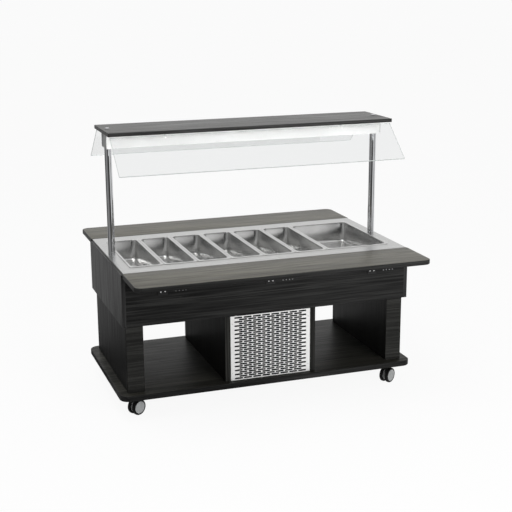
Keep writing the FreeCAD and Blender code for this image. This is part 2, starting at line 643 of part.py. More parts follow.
def make_canopy():
    """Top board, hollow light box, the lamp with its diffuser, and the slanted glass."""
    board = slab("canopy_slab", across("canopy_length"), across("canopy_depth"),
                 ("canopy_bottom", "canopy_top"), None, "canopy_round")
    holes = [rod(f"canopy_hole_{word}", "tie_rod / 2 + tie_fit", "canopy_thickness + 2 * overrun",
                 f"{side} * post_x", "0", "canopy_bottom - overrun") for word, side in (("a", -1), ("b", 1))]
    node(cut("canopy_board", board, *holes))

    shell = block("light_shell", across("light_length"), across("light_depth"),
                  ("light_bottom", "canopy_bottom"))
    inside = "light_depth - 2 * light_sheet"
    hollow = block("light_hollow", across("light_length - 2 * light_sheet"), across(inside),
                   ("light_bottom + light_sheet", "canopy_bottom - light_sheet"))
    window = "light_length - 2 * light_end_block"
    mouth = block("light_mouth", across(window), across(f"{inside} - 2 * light_lip"),
                  ("light_bottom - overrun", "light_bottom + light_sheet + overrun"))
    ways = [rod(f"light_hole_{word}", "tie_rod / 2 + tie_fit", "light_height + 2 * overrun",
                f"{side} * post_x", "0", "light_bottom - overrun") for word, side in (("a", -1), ("b", 1))]
    node(cut("light_housing", shell, hollow, mouth, *ways))

    lens = block("diffuser_lens", across(f"{window} + 2 * light_lip"), across(f"{inside} - 2 * diffuser_gap"),
                 ("light_bottom + light_sheet", "light_bottom + light_sheet + diffuser"))
    lamp = block("lamp", across(f"{window} - 2 * lamp_end_gap"), across("lamp_width"),
                 ("canopy_bottom - light_sheet - lamp_height", "canopy_bottom - light_sheet"))
    node(group("lamp_and_diffuser", [lens, lamp]))

    clips = []
    for word, side in (("front", -1), ("rear", 1)):
        node(make_glass(f"{word}_glass", side))
        for half in (-1, 1):
            clips.append(make_clip(f"{word}_clip_{'a' if half < 0 else 'b'}", side, half))
    node(group("glass_clips", clips))


def make_glass(name, side):
    """Glass pane that slants down and outwards from just under the canopy's edge."""
    part = body(name, f"{-side} * glass_length / 2", f"{side} * glass_top_y", "glass_top_z",
                HALF_TURN if side < 0 else "0")
    sketch = sketch_on(part, "YZ_Plane")
    run = "glass_width * cos(glass_tilt)"
    fall = "-glass_width * sin(glass_tilt)"
    lean = "glass_thickness * sin(glass_tilt)"
    rise = "glass_thickness * cos(glass_tilt)"
    outline(sketch, [("0", "0"), (run, fall), (f"{run} - {lean}", f"{fall} - {rise}"),
                     (f"-{lean}", f"-{rise}")])
    pad(part, sketch, "glass_length")
    rounded(part, "edge_round")
    return part


def make_clip(name, side, half):
    """Bent clip: a foot under the canopy board and a leg along the underside of the glass."""
    part = body(name, f"{half} * clip_spread + {-side} * clip_width / 2", f"{side} * glass_top_y",
                "glass_top_z", HALF_TURN if side < 0 else "0")
    sketch = sketch_on(part, "YZ_Plane")
    back_y = "-glass_thickness * sin(glass_tilt)"
    back_z = "-glass_thickness * cos(glass_tilt)"
    leg_y = "clip_leg * cos(glass_tilt)"
    leg_z = "clip_leg * sin(glass_tilt)"
    bend_y = f"({back_y} - (glass_drop - ({back_z})) / tan(glass_tilt))"
    outline(sketch, [
        (bend_y, "glass_drop"),
        (f"{back_y} + {leg_y}", f"{back_z} - {leg_z}"),
        (f"{back_y} + {leg_y} - clip_sheet * sin(glass_tilt)",
         f"{back_z} - {leg_z} - clip_sheet * cos(glass_tilt)"),
        (f"{bend_y} - clip_sheet * tan(glass_tilt / 2)", "glass_drop - clip_sheet"),
        (f"{bend_y} - clip_foot", "glass_drop - clip_sheet"),
        (f"{bend_y} - clip_foot", "glass_drop"),
    ])
    pad(part, sketch, "clip_width")
    return part


def make_slotted_panel(name, side, rows):
    """Sheet-steel panel with staggered rows of round-ended slots."""
    part = body(name, f"{side} * panel_width / 2", f"{side} * face", "base_top + panel_gap",
                HALF_TURN if side > 0 else "0")
    flat = sketch_on(part, "XZ_Plane")
    rectangle(flat, ("0", "panel_width"), ("0", "panel_height"))
    if side > 0:
        control_cutouts(flat)
    pad(part, flat, "panel_sheet", reverse=True)
    margin = "(panel_width - (slot_columns - 1) * slot_pitch - slot_length) / 2"
    low = "(panel_height - (slot_rows - 1) * slot_row_pitch) / 2"
    columns = int(number("slot_columns"))
    slot_rows(part, margin, low, columns, rows)
    slot_rows(part, f"{margin} + slot_pitch / 2", f"{low} + slot_row_pitch / 2", columns - 1, rows - 1)
    node(part)


def control_cutouts(sketch):
    """Cut-outs of the rear panel for the thermostat, the two switches and the cable gland."""
    middle = "panel_height - control_drop"
    openings = [("thermostat_x", "thermostat_body_width", "thermostat_body_height"),
                ("main_switch_x", "switch_sleeve_width", "switch_sleeve_height"),
                ("light_switch_x", "switch_sleeve_width", "switch_sleeve_height")]
    for x, width, height in openings:
        rectangle(sketch, around(f"panel_width / 2 - {x}", f"{width} + 2 * cutout_gap"),
                  around(middle, f"{height} + 2 * cutout_gap"))
    circle(sketch, "panel_width / 2 - gland_x", middle, "gland_thread / 2 + cutout_gap")


def slot_rows(part, x, z, columns, rows):
    """One slot, and its copies in columns and rows."""
    sketch = sketch_on(part, "XZ_Plane")
    long_hole(sketch, x, z)
    first = pocket(part, sketch, "panel_sheet")
    spread = part.newObject("PartDesign::LinearPattern", f"{part.Name}_slots")
    spread.Originals = [first]
    spread.Direction = (sketch, ["H_Axis"])
    spread.Direction2 = (sketch, ["V_Axis"])
    spread.Occurrences = columns
    spread.Occurrences2 = rows
    bind(spread, Length=f"{columns - 1} * slot_pitch", Length2=f"{rows - 1} * slot_row_pitch")
    spread.Refine = False
    part.Tip = spread
    doc.recompute()


def long_hole(sketch, x, z):
    """A round-ended slot that starts at x, its middle line at z."""
    radius = number("slot_width / 2")
    left = FreeCAD.Vector(number(f"{x} + slot_width / 2"), number(z), 0)
    right = FreeCAD.Vector(number(f"{x} + slot_length - slot_width / 2"), number(z), 0)
    up = FreeCAD.Vector(0, radius, 0)
    ahead = FreeCAD.Vector(0, 0, 1)
    half = math.pi / 2
    sketch.addGeometry(Part.LineSegment(left - up, right - up))
    sketch.addGeometry(Part.ArcOfCircle(Part.Circle(right, ahead, radius), -half, half))
    sketch.addGeometry(Part.LineSegment(right + up, left + up))
    sketch.addGeometry(Part.ArcOfCircle(Part.Circle(left, ahead, radius), half, half * 3))
    for a, b in ((0, 1), (1, 2), (2, 3), (3, 0)):
        sketch.addConstraint(Sketcher.Constraint("Tangent", a, 2, b, 1))
    sketch.addConstraint(Sketcher.Constraint("Horizontal", 0))
    size = sketch.addConstraint(Sketcher.Constraint("Radius", 3, radius))
    sketch.setExpression(f"Constraints[{size}]", spelled("slot_width / 2"))
    pin_point(sketch, 3, 3, "X", f"{x} + slot_width / 2")
    pin_point(sketch, 3, 3, "Y", z)
    pin_point(sketch, 1, 3, "X", f"{x} + slot_length - slot_width / 2")


def make_panels():
    """Front grille and rear panel of the machine compartment."""
    make_slotted_panel("front_grille", -1, int(number("slot_rows")))
    make_slotted_panel("rear_panel", 1, int(number("rear_slot_rows")))


def make_controls():
    """Thermostat and switch frames, the two rockers, and the gland for the mains lead."""
    front = ("face", "face + bezel")
    bezel = block("thermostat_bezel", around("thermostat_x", "thermostat_width"), front,
                  around("control_z", "thermostat_height"))
    case = block("thermostat_case", around("thermostat_x", "thermostat_body_width"),
                 ("face - thermostat_depth", "face"), around("control_z", "thermostat_body_height"))
    housings = [joined("thermostat", bezel, case)]
    for word in ("main", "light"):
        housings.append(make_switch_frame(word))
        node(make_rocker(word))
    node(group("control_housings", housings))
    gland = body("inlet_gland", "gland_x", "face", "control_z", QUARTER_TURN, (-1, 0, 0))
    shape = sketch_on(gland, "XZ_Plane")
    outline(shape, [("gland_bore / 2", "-gland_reach - panel_sheet - gland_nut_height"),
                    ("gland_thread / 2", "-gland_reach - panel_sheet - gland_nut_height"),
                    ("gland_thread / 2", "-panel_sheet - gland_nut_height"),
                    ("gland_head / 2", "-panel_sheet - gland_nut_height"),
                    ("gland_head / 2", "-panel_sheet"), ("gland_thread / 2", "-panel_sheet"),
                    ("gland_thread / 2", "0"), ("gland_head / 2", "0"),
                    ("gland_head / 2", "gland_head_height / 2"), ("gland_thread / 2", "gland_head_height"),
                    ("gland_bore / 2", "gland_head_height")])
    turned(gland, shape)
    node(gland)


def make_switch_frame(word):
    """Snap-in frame of a rocker switch, open at the front and back, with the rocker's pivot pin."""
    x = f"{word}_switch_x"
    rim = block(f"{word}_rim", around(x, "switch_bezel_width"), ("face", "face + bezel"),
                around("control_z", "switch_bezel_height"))
    sleeve = block(f"{word}_sleeve", around(x, "switch_sleeve_width"), ("face - switch_depth", "face"),
                   around("control_z", "switch_sleeve_height"))
    mouth = block(f"{word}_mouth", around(x, "switch_sleeve_width - 2 * switch_wall"),
                  ("face - switch_depth - overrun", "face + bezel + overrun"),
                  around("control_z", "switch_sleeve_height - 2 * switch_wall"))
    pin = rod(f"{word}_pin", "rocker_pin / 2", "switch_sleeve_width - switch_wall",
              f"{x} - (switch_sleeve_width - switch_wall) / 2", "face", "control_z", "x")
    return joined(f"{word}_frame", cut(f"{word}_tube", joined(f"{word}_outside", rim, sleeve), mouth), pin)


def make_rocker(word):
    """Rocker with a shallow V front, tilted to its off side about the pivot pin."""
    start = f"{word}_switch_x - switch_sleeve_width / 2 + switch_wall + rocker_gap"
    part = body(f"{word}_switch", start, "face", "control_z", "rocker_tilt", (1, 0, 0))
    sketch = sketch_on(part, "YZ_Plane")
    outline(sketch, [("-rocker_back", "-rocker_height / 2"), ("rocker_front", "-rocker_height / 2"),
                     ("rocker_front - rocker_round", "0"), ("rocker_front", "rocker_height / 2"),
                     ("-rocker_back", "rocker_height / 2")])
    circle(sketch, "0", "0", "rocker_pin / 2 + rocker_fit")
    pad(part, sketch, "switch_sleeve_width - 2 * switch_wall - 2 * rocker_gap")
    return part


def make_cold_unit():
    """Condenser with its fan and motor, compressor and pipework, all standing on the base board."""
    core = body("condenser_core", "-condenser_width / 2", "-condenser_front", "base_top")
    plan = sketch_on(core, "XY_Plane")
    rectangle(plan, ("0", "condenser_width"), ("0", "condenser_depth"))
    pad(core, plan, "condenser_height")
    gap = sketch_on(core, "XY_Plane")
    rectangle(gap, ("fin_margin", "fin_margin + fin_gap"), ("0", "fin_slot_depth"))
    bind(gap, AttachmentOffset__Base__z="fin_margin")
    first = pocket(core, gap, "condenser_height - 2 * fin_margin", reverse=True)
    fins = core.newObject("PartDesign::LinearPattern", "condenser_fins")
    fins.Originals = [first]
    fins.Direction = (gap, ["H_Axis"])
    count = int(number("(condenser_width - 2 * fin_margin) / fin_pitch"))
    fins.Occurrences = count
    bind(fins, Length=f"{count - 1} * fin_pitch")
    core.Tip = fins
    doc.recompute()
    collar = rod("shroud_collar_outer", "shroud_opening / 2 + shroud_sheet", "shroud_collar", "0",
                 "-condenser_back", "fan_z", "y")
    opening = rod("shroud_opening_hole", "shroud_opening / 2", "shroud_collar + overrun", "0",
                  "-condenser_back", "fan_z", "y")
    node(joined("condenser", core, cut("shroud", collar, opening)))

    can = rod("motor_can", "motor_diameter / 2", "motor_length", "0", "-motor_front", "fan_z", "y")
    nose = "fan_hub_length + motor_gap - fan_nose - fan_end_gap"
    shaft = rod("motor_shaft", "fan_shaft / 2", f"{nose} + motor_length / 2", "0", f"-motor_front - ({nose})",
                "fan_z", "y")
    foot = block("motor_bracket_plate", across("motor_foot"),
                 ("-motor_front + motor_length", "-motor_front + motor_length + motor_bracket"),
                 ("base_top", "fan_z + motor_diameter / 2"))
    node(joined("fan_motor", can, shaft, foot))

    fan = body("fan_blade", "0", "-fan_y + fan_hub_length / 2", "fan_z", QUARTER_TURN, (1, 0, 0))
    hub = sketch_on(fan, "XY_Plane")
    circle(hub, "0", "0", "fan_hub / 2")
    pad(fan, hub, "fan_hub_length")
    blade = sketch_on(fan, "YZ_Plane")
    middle = "fan_hub_length / 2"
    outline(blade, [("-fan_chord / 2", f"{middle} - fan_pitch_rise / 2"),
                    ("fan_chord / 2", f"{middle} + fan_pitch_rise / 2"),
                    ("fan_chord / 2", f"{middle} + fan_pitch_rise / 2 + fan_sheet"),
                    ("-fan_chord / 2", f"{middle} - fan_pitch_rise / 2 + fan_sheet")])
    first = pad(fan, blade, "sqrt((fan_diameter / 2) ^ 2 - (fan_chord / 2) ^ 2)")
    ring = fan.newObject("PartDesign::PolarPattern", "fan_ring")
    ring.Originals = [first]
    ring.Axis = (hub, ["N_Axis"])
    ring.Occurrences = int(number("fan_blades"))
    fan.Tip = ring
    doc.recompute()
    bore = sketch_on(fan, "XY_Plane")
    circle(bore, "0", "0", "fan_shaft / 2 + fan_fit")
    pocket(fan, bore, "fan_hub_length - fan_nose", reverse=True)
    node(fan)
    make_compressor()
    make_pipes()


def make_compressor():
    """Hermetic compressor: a domed can with a welded seam, on a foot plate and rubber pads."""
    can = body("compressor_can", "compressor_x", "compressor_y", "compressor_base")
    shape = sketch_on(can, "XZ_Plane")
    radius = "compressor_diameter / 2"
    seam = "compressor_height / 2"
    outline(shape, [("0", "0"), (f"{radius} - compressor_dome / 2", "0"), (radius, "compressor_dome / 2"),
                    (radius, f"{seam} - compressor_seam_height / 2"),
                    (f"{radius} + compressor_seam", f"{seam} - compressor_seam_height / 2"),
                    (f"{radius} + compressor_seam", f"{seam} + compressor_seam_height / 2"),
                    (radius, f"{seam} + compressor_seam_height / 2"),
                    (radius, "compressor_height - compressor_dome"),
                    (f"{radius} - compressor_dome / 3", "compressor_height - compressor_dome / 3"),
                    (f"{radius} - compressor_dome", "compressor_height"), ("0", "compressor_height")])
    turned(can, shape)
    plate = block("compressor_foot", around("compressor_x", "foot_length"),
                  around("compressor_y", "foot_depth"), ("base_top + foot_pad_height", "compressor_base"))
    pads = [rod(f"compressor_pad_{i}{j}", "foot_pad / 2", "foot_pad_height",
                f"compressor_x + {i} * (foot_length / 2 - foot_pad_inset)",
                f"compressor_y + {j} * (foot_depth / 2 - foot_pad_inset)", "base_top")
            for i in (-1, 1) for j in (-1, 1)]
    node(joined("compressor", can, plate, *pads))


def tube(points, diameter, bend):
    """A round tube along straight runs joined by tangent arcs."""
    edges = []
    start = points[0]
    for i in range(1, len(points) - 1):
        before = (points[i - 1] - points[i]).normalize()
        after = (points[i + 1] - points[i]).normalize()
        turn = math.pi - before.getAngle(after)
        back = bend * math.tan(turn / 2)
        enter = points[i] + before * back
        leave = points[i] + after * back
        inward = (before + after).normalize()
        top = points[i] + inward * (bend / math.cos(turn / 2) - bend)
        if (enter - start).Length > Part.Precision.confusion():
            edges.append(Part.LineSegment(start, enter).toShape())
        edges.append(Part.Arc(enter, top, leave).toShape())
        start = leave
    edges.append(Part.LineSegment(start, points[-1]).toShape())
    path = Part.Wire(edges)
    ring = Part.Wire(Part.Circle(points[0], points[1] - points[0], diameter / 2).toShape())
    return path.makePipeShell([ring], True, False)


def make_pipes():
    """Copper lines, filter drier and evaporator coil, brazed into one circuit."""
    def at(x, y, z):
        return FreeCAD.Vector(number(x), number(y), number(z))

    pipe = number("pipe_diameter")
    bend = number("pipe_bend")
    wall = "-compartment_inside + pipe_wall_gap"
    deep = "-(condenser_front + condenser_back) / 2"
    side = "-condenser_width / 2 - pipe_joint_gap"
    shell = "compressor_x - compressor_diameter / 2 - pipe_joint_gap"
    aside = f"{wall} + pipe_cross_gap"
    high = "base_top + discharge_height"
    low = "base_top + liquid_height"
    discharge = tube([at(shell, "compressor_y", high), at(aside, "compressor_y", high), at(aside, deep, high),
                      at(side, deep, high)], pipe, bend)
    drier_low = f"{low} + drier_start"
    drier_high = f"{drier_low} + drier_length"
    liquid = tube([at(side, deep, low), at(wall, deep, low), at(wall, "pipe_rise_y", low),
                   at(wall, "pipe_rise_y", f"{drier_low} - pipe_joint_gap")], pipe, bend)
    drier = Part.makeCylinder(number("drier_diameter / 2"), number("drier_length"),
                              at(wall, "pipe_rise_y", drier_low))
    coil_z = "liner_bottom - coil_gap - coil_tube / 2"
    joint_z = f"{coil_z} - coil_tube / 2 - pipe_joint_gap"
    riser = tube([at(wall, "pipe_rise_y", f"{drier_high} + pipe_joint_gap"),
                  at(wall, "pipe_rise_y", joint_z)], pipe, bend)
    back = f"{wall} + suction_pipe_gap"
    head = "compressor_top + suction_head"
    suction = tube([at(back, "pipe_rise_y", joint_z), at(back, "pipe_rise_y", head),
                    at("compressor_x", "pipe_rise_y", head), at("compressor_x", "compressor_y", head),
                    at("compressor_x", "compressor_y", "compressor_top + pipe_joint_gap")], pipe, bend)
    far = "liner_length / 2 - coil_end_room"
    runs = int(number("coil_runs"))
    route = []
    for i in range(runs):
        y = f"pipe_rise_y + ({i} - floor(coil_runs / 2)) * coil_pitch"
        ends = [at(f"-({far})", y, coil_z), at(far, y, coil_z)]
        route += ends if i % 2 == 0 else ends[::-1]
    coil = tube(route, number("coil_tube"), number("coil_bend"))
    pipes = doc.addObject("Part::Feature", "refrigerant_pipes")
    pipes.Shape = Part.makeCompound([discharge, liquid, drier, riser, suction, coil])
    node(pipes)


def make_caster(word, side, end):
    """Swivel caster: a neck with a stem and axle, and a wheel on each side of it."""
    where = (f"{side} * caster_x", f"{end} * caster_y", "0", f"turn_{word}")
    name = f"caster_{word}"
    axle_z = "wheel_diameter / 2"
    head_top = "caster_height - head_gap"
    boss = rod(f"{name}_boss", "boss_diameter / 2", "neck_thickness", "-caster_trail", "-neck_thickness / 2",
               axle_z, "y")
    heel = "-caster_trail - boss_diameter / 2"
    neck = block(f"{name}_neck", (heel, f"{heel} + neck_width"), across("neck_thickness"),
                 (axle_z, f"{head_top} - head_height / 2"))
    head = rod(f"{name}_head", "head_diameter / 2", "head_height", "0", "0", f"{head_top} - head_height")
    stem = rod(f"{name}_stem", "stem_diameter / 2", "stem_length + head_gap + head_height / 2", "0", "0",
               f"{head_top} - head_height / 2")
    half_axle = "wheel_track / 2 + wheel_width / 2 - hub_recess - axle_end_wall - axle_end_gap"
    axle = rod(f"{name}_axle", "axle_diameter / 2", f"2 * ({half_axle})", "-caster_trail", f"-({half_axle})",
               axle_z, "y")
    node(place(joined(f"{name}_fork", boss, neck, head, stem, axle), *where))
    for wheel, way in (("left", 1), ("right", -1)):
        part = body(f"{name}_{wheel}_wheel", *where)
        profile = sketch_on(part, "XY_Plane")
        flip = FreeCAD.Rotation(FreeCAD.Vector(1, 0, 0), 0 if way > 0 else 180)
        profile.AttachmentOffset = FreeCAD.Placement(FreeCAD.Vector(), flip)
        bind(profile, AttachmentOffset__Base__x="-caster_trail", AttachmentOffset__Base__z=axle_z)
        near = "(wheel_track - wheel_width) / 2"
        far = "(wheel_track + wheel_width) / 2"
        bore = "axle_diameter / 2 + axle_fit"
        outline(profile, [(bore, near), ("wheel_diameter / 2", near), ("wheel_diameter / 2", far),
                          ("hub_diameter / 2", far), ("hub_diameter / 2", f"{far} - hub_recess"),
                          ("0", f"{far} - hub_recess"), ("0", f"{far} - hub_recess - axle_end_wall"),
                          (bore, f"{far} - hub_recess - axle_end_wall")])
        turned(part, profile)
        reach = number("wheel_diameter / 2")
        rounded(part, "wheel_round", lambda edge: edge.Curve.TypeId == "Part::GeomCircle"
                and abs(edge.Curve.Radius - reach) < number("hub_recess") / 2)
        node(part)


def make_casters():
    """A caster under each corner, standing at the angle that it was left at."""
    for word, side, end in (("front_left", -1, -1), ("front_right", 1, -1),
                            ("rear_left", -1, 1), ("rear_right", 1, 1)):
        make_caster(word, side, end)


def write_nodes():
    """Checks every object of the document, then writes each sub-part to its own file."""
    doc.removeObject(working.Name)
    doc.recompute()
    failed = [o.Name for o in doc.Objects if "Invalid" in o.State or "Error" in o.State]
    if failed:
        raise RuntimeError(f"these objects failed: {failed}")
    for piece in nodes:
        if piece.Shape.isNull() or not piece.Shape.isValid() or not piece.Shape.Solids:
            raise RuntimeError(f"{piece.Label} has no valid shape")
    os.makedirs("parts", exist_ok=True)
    for piece in nodes:
        piece.Shape.exportStep(f"parts/{piece.Label}.step")
    print(len(nodes), "nodes written")


make_base()
make_carcass()
make_deck()
make_well()
make_pans()
make_shelves()
make_screws()
make_posts()
make_canopy()
make_panels()
make_controls()
make_cold_unit()
make_casters()
write_nodes()
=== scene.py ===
# %% [markdown]
# # A refrigerated buffet trolley
# A dark laminate island on casters, with a chilled row of steel pans, fold-down shelves and a canopy with
# slanted glass screens. The construction comes packed from CAD as a fixed frame. This notebook gives it its
# looks: finishes for the boards and sheet metal, and finer meshes where the eye rests on an edge.

# %% Load the frame
import json
import math

import bmesh
import bpy
from mathutils import Matrix, Vector


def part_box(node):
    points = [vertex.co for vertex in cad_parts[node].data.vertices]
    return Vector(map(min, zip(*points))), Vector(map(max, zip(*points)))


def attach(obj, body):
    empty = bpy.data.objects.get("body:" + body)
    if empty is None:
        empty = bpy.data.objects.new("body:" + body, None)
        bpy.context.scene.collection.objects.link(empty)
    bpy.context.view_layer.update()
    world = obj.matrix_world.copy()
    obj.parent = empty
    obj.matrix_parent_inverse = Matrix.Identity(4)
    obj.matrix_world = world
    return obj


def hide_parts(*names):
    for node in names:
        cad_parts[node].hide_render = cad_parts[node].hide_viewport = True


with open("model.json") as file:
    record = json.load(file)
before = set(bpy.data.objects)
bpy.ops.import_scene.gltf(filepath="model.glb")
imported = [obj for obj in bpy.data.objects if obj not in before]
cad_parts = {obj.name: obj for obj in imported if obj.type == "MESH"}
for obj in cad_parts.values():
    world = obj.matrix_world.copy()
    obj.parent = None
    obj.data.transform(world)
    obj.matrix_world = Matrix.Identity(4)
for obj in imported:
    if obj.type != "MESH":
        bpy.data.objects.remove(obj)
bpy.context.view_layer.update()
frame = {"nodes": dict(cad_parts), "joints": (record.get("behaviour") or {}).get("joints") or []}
scene = bpy.context.scene
scene.view_settings.view_transform = "Standard"
MM = 0.001

# %% [markdown]
# ## Camera
# The photograph was taken from in front of the left-hand end, a little above the canopy, with a long lens. A
# camera can be placed by eye, but here its place, aim and lens were fitted to the edges of the real trolley,
# so the render can be laid over the photograph.

# %% Camera
IMAGE_PX = 512
FOCAL_PX = 1102.4
EYE = Vector((-1705.9, -5015.4, 2008.9)) * MM
YAW = math.radians(-19.3)
PITCH = math.radians(-14.5)
ROLL = math.radians(-0.3)
ahead = Vector((-math.sin(YAW) * math.cos(PITCH), math.cos(YAW) * math.cos(PITCH), math.sin(PITCH)))
level = Vector((math.cos(YAW), math.sin(YAW), 0))
above = level.cross(ahead)
right = level * math.cos(ROLL) + above * math.sin(ROLL)
up = above * math.cos(ROLL) - level * math.sin(ROLL)
lens = bpy.data.cameras.new("photo_lens")
lens.lens = FOCAL_PX / IMAGE_PX * lens.sensor_width
camera = bpy.data.objects.new("photo_camera", lens)
camera.matrix_world = Matrix.Translation(EYE) @ Matrix((right, up, -ahead)).transposed().to_4x4()
scene.collection.objects.link(camera)
scene.camera = camera
print("lens:", round(lens.lens, 1), "mm")

# %% [markdown]
# ## Colours and nodes
# Colours are written as the hex values a picture editor shows, and one function turns them into the linear
# light that shaders work in. Another adds any node with its properties, and each input gets a value, or
# the socket or node that feeds it.


# %% Colours and nodes
def colour(code):
    """An sRGB hex code as linear red, green, blue and alpha."""
    parts = [int(code[i:i + 2], 16) / 255 for i in (1, 3, 5)]
    return [p / 12.92 if p <= 0.04045 else ((p + 0.055) / 1.055) ** 2.4 for p in parts] + [1]


def feed(tree, node, inputs):
    """Fills each input with a value, or links it to a socket or to the first output of a node."""
    for name, value in inputs.items():
        if isinstance(value, bpy.types.Node):
            value = value.outputs[0]
        if isinstance(value, bpy.types.NodeSocket):
            tree.links.new(value, node.inputs[name])
        else:
            node.inputs[name].default_value = value


def add(tree, kind, inputs=None, **settings):
    """Adds a node with its properties set and its inputs fed."""
    node = tree.nodes.new(kind)
    for name, value in settings.items():
        setattr(node, name, value)
    feed(tree, node, inputs or {})
    return node


def finish_of(name, **shader):
    """A new material with one principled shader. Returns the material, its tree and the shader."""
    material = bpy.data.materials.new(name)
    material.use_nodes = True
    tree = material.node_tree
    tree.nodes.clear()
    bsdf = add(tree, "ShaderNodeBsdfPrincipled", {k.replace("_", " "): v for k, v in shader.items()})
    add(tree, "ShaderNodeOutputMaterial", {"Surface": bsdf})
    return material, tree, bsdf


print("mid grey in linear light:", round(colour("#808080")[0], 3))

# %% [markdown]
# ## The room in reflections
# Polished metal needs something dark to mirror, or it looks like grey plastic. Softboxes and black flags
# could be modelled round the trolley, but they would show behind it. A shader that only reflections see looks
# up the bearing of each ray on a ring of bright softboxes and dark gaps, under a pale ceiling.

# %% The room in reflections
CEILING = "#e6e6e6"
CEILING_START = 0.5  # climb of a direction: 0 is level and 1 straight up
CEILING_FULL = 0.8
# Turns from the left by way of the front, and two hex digits of grey.
ROOM_STOPS = [(0.00, "90"), (0.03, "98"), (0.13, "78"), (0.19, "40"), (0.215, "24"), (0.25, "24"),
              (0.27, "80"), (0.30, "e4"), (0.35, "f4"), (0.38, "a4"), (0.44, "a4"), (0.48, "ec"),
              (0.76, "e8"), (0.80, "d0"), (0.86, "a0"), (0.90, "58"), (0.94, "14"), (1.00, "90")]


def room_seen(tree, direction):
    """A shader of the ring, by the bearing of a direction, and of the ceiling."""
    parts = add(tree, "ShaderNodeSeparateXYZ", {0: direction}).outputs
    bearing = add(tree, "ShaderNodeMath", {0: parts["Y"], 1: parts["X"]}, operation="ARCTAN2")
    turn = add(tree, "ShaderNodeMapRange", {"Value": bearing, "From Min": -math.pi, "From Max": math.pi})
    ring = add(tree, "ShaderNodeValToRGB", {"Fac": turn})
    stops = ring.color_ramp.elements
    for place, grey in ROOM_STOPS:
        stop = stops[0] if place == 0 else stops[-1] if place == 1 else stops.new(place)
        stop.color = colour("#" + grey * 3)
    height = add(tree, "ShaderNodeMapRange", {"Value": parts["Z"], "From Min": CEILING_START,
                                              "From Max": CEILING_FULL})
    room = add(tree, "ShaderNodeMix", {"Factor": height, "A": ring, "B": colour(CEILING)}, data_type="RGBA")
    return add(tree, "ShaderNodeEmission", {"Color": room.outputs["Result"], "Strength": 1})


def seen_directly(tree, rays):
    """One for rays that come from the camera, or from it through glass."""
    return add(tree, "ShaderNodeMath", {0: rays["Is Camera Ray"], 1: rays["Is Transmission Ray"]},
               operation="MAXIMUM")


def with_room(tree, rays, shown, coordinates):
    """A shader that rays off a polished surface, but not those through glass, see as the room."""
    mirrored = add(tree, "ShaderNodeMath", {0: rays["Is Glossy Ray"], 1: rays["Is Transmission Ray"]},
                   operation="SUBTRACT", use_clamp=True)
    around = room_seen(tree, add(tree, "ShaderNodeTexCoord").outputs[coordinates])
    return add(tree, "ShaderNodeMixShader", {0: mirrored, 1: shown, 2: around})


print("room:", len(ROOM_STOPS), "stops round the trolley")

# %% [markdown]
# ## World and floor
# The trolley was photographed on white. A white sweep could be modelled, but a flat pale floor and a white
# world do the same job: both show white to the camera and through glass, and take on the room in reflections.
# The floor glows only in part, so it keeps a soft shadow.

# %% World and floor
WHITE = "#ffffff"
FILL_LEVEL = 0.50
WHITE_LEVEL = 0.957
FLOOR_TONE = "#f4f4f4"
FLOOR_GLOW = 0.92
FLOOR_SIZE = 60

world = bpy.data.worlds.new("studio")
scene.world = world
world.use_nodes = True
sky = world.node_tree
sky.nodes.clear()
rays = add(sky, "ShaderNodeLightPath").outputs
fill = add(sky, "ShaderNodeBackground", {"Color": colour(WHITE), "Strength": FILL_LEVEL})
white = add(sky, "ShaderNodeBackground", {"Color": colour(WHITE), "Strength": WHITE_LEVEL})
shown = add(sky, "ShaderNodeMixShader", {0: seen_directly(sky, rays), 1: fill, 2: white})
add(sky, "ShaderNodeOutputWorld", {"Surface": with_room(sky, rays, shown, "Generated")})

pale_floor = bpy.data.materials.new("pale_studio_floor")
pale_floor.use_nodes = True
ground = pale_floor.node_tree
ground.nodes.clear()
rays = add(ground, "ShaderNodeLightPath").outputs
matte = add(ground, "ShaderNodeBsdfDiffuse", {"Color": colour(FLOOR_TONE)})
glow = add(ground, "ShaderNodeEmission", {"Color": colour(WHITE), "Strength": 1})
share = add(ground, "ShaderNodeMath", {0: seen_directly(ground, rays), 1: FLOOR_GLOW}, operation="MULTIPLY")
paled = add(ground, "ShaderNodeMixShader", {0: share, 1: matte, 2: glow})
add(ground, "ShaderNodeOutputMaterial", {"Surface": with_room(ground, rays, paled, "Object")})

reach = FLOOR_SIZE / 2
floor_mesh = bpy.data.meshes.new("floor")
floor_mesh.from_pydata([(-reach, -reach, 0), (reach, -reach, 0), (reach, reach, 0), (-reach, reach, 0)], [],
                       [(0, 1, 2, 3)])
floor_mesh.materials.append(pale_floor)
floor = bpy.data.objects.new("floor", floor_mesh)
scene.collection.objects.link(floor)
print("floor:", FLOOR_SIZE, "m wide")

# %% [markdown]
# ## Softboxes
# Two square area lamps model the shapes. One stands to the right of the camera and reaches into the bays. It
# is kept out of reflections, where the ring above stands for it. The other hangs high on the left. Sun
# lamps would be simpler, but their shadows have hard edges.

# %% Softboxes
SOFTBOX_SIZE = 2.4
SOFTBOXES = {
    "front_softbox": {"place": (1.6, -5.0, 1.8), "aim": (0, 0, 0.8), "power": 128, "mirrored": False},
    "top_softbox": {"place": (-1.5, -0.8, 4.2), "aim": (0, 0, 0.6), "power": 60, "mirrored": True},
}


def softbox(name, place, aim, power, mirrored):
    """A square area lamp that faces a point."""
    lamp = bpy.data.lights.new(name, "AREA")
    lamp.size = SOFTBOX_SIZE
    lamp.energy = power
    holder = bpy.data.objects.new(name, lamp)
    holder.visible_glossy = mirrored
    holder.location = place
    holder.rotation_euler = (Vector(aim) - Vector(place)).to_track_quat("-Z", "Y").to_euler()
    scene.collection.objects.link(holder)


for name, settings in SOFTBOXES.items():
    softbox(name, **settings)
print("softboxes:", list(SOFTBOXES))

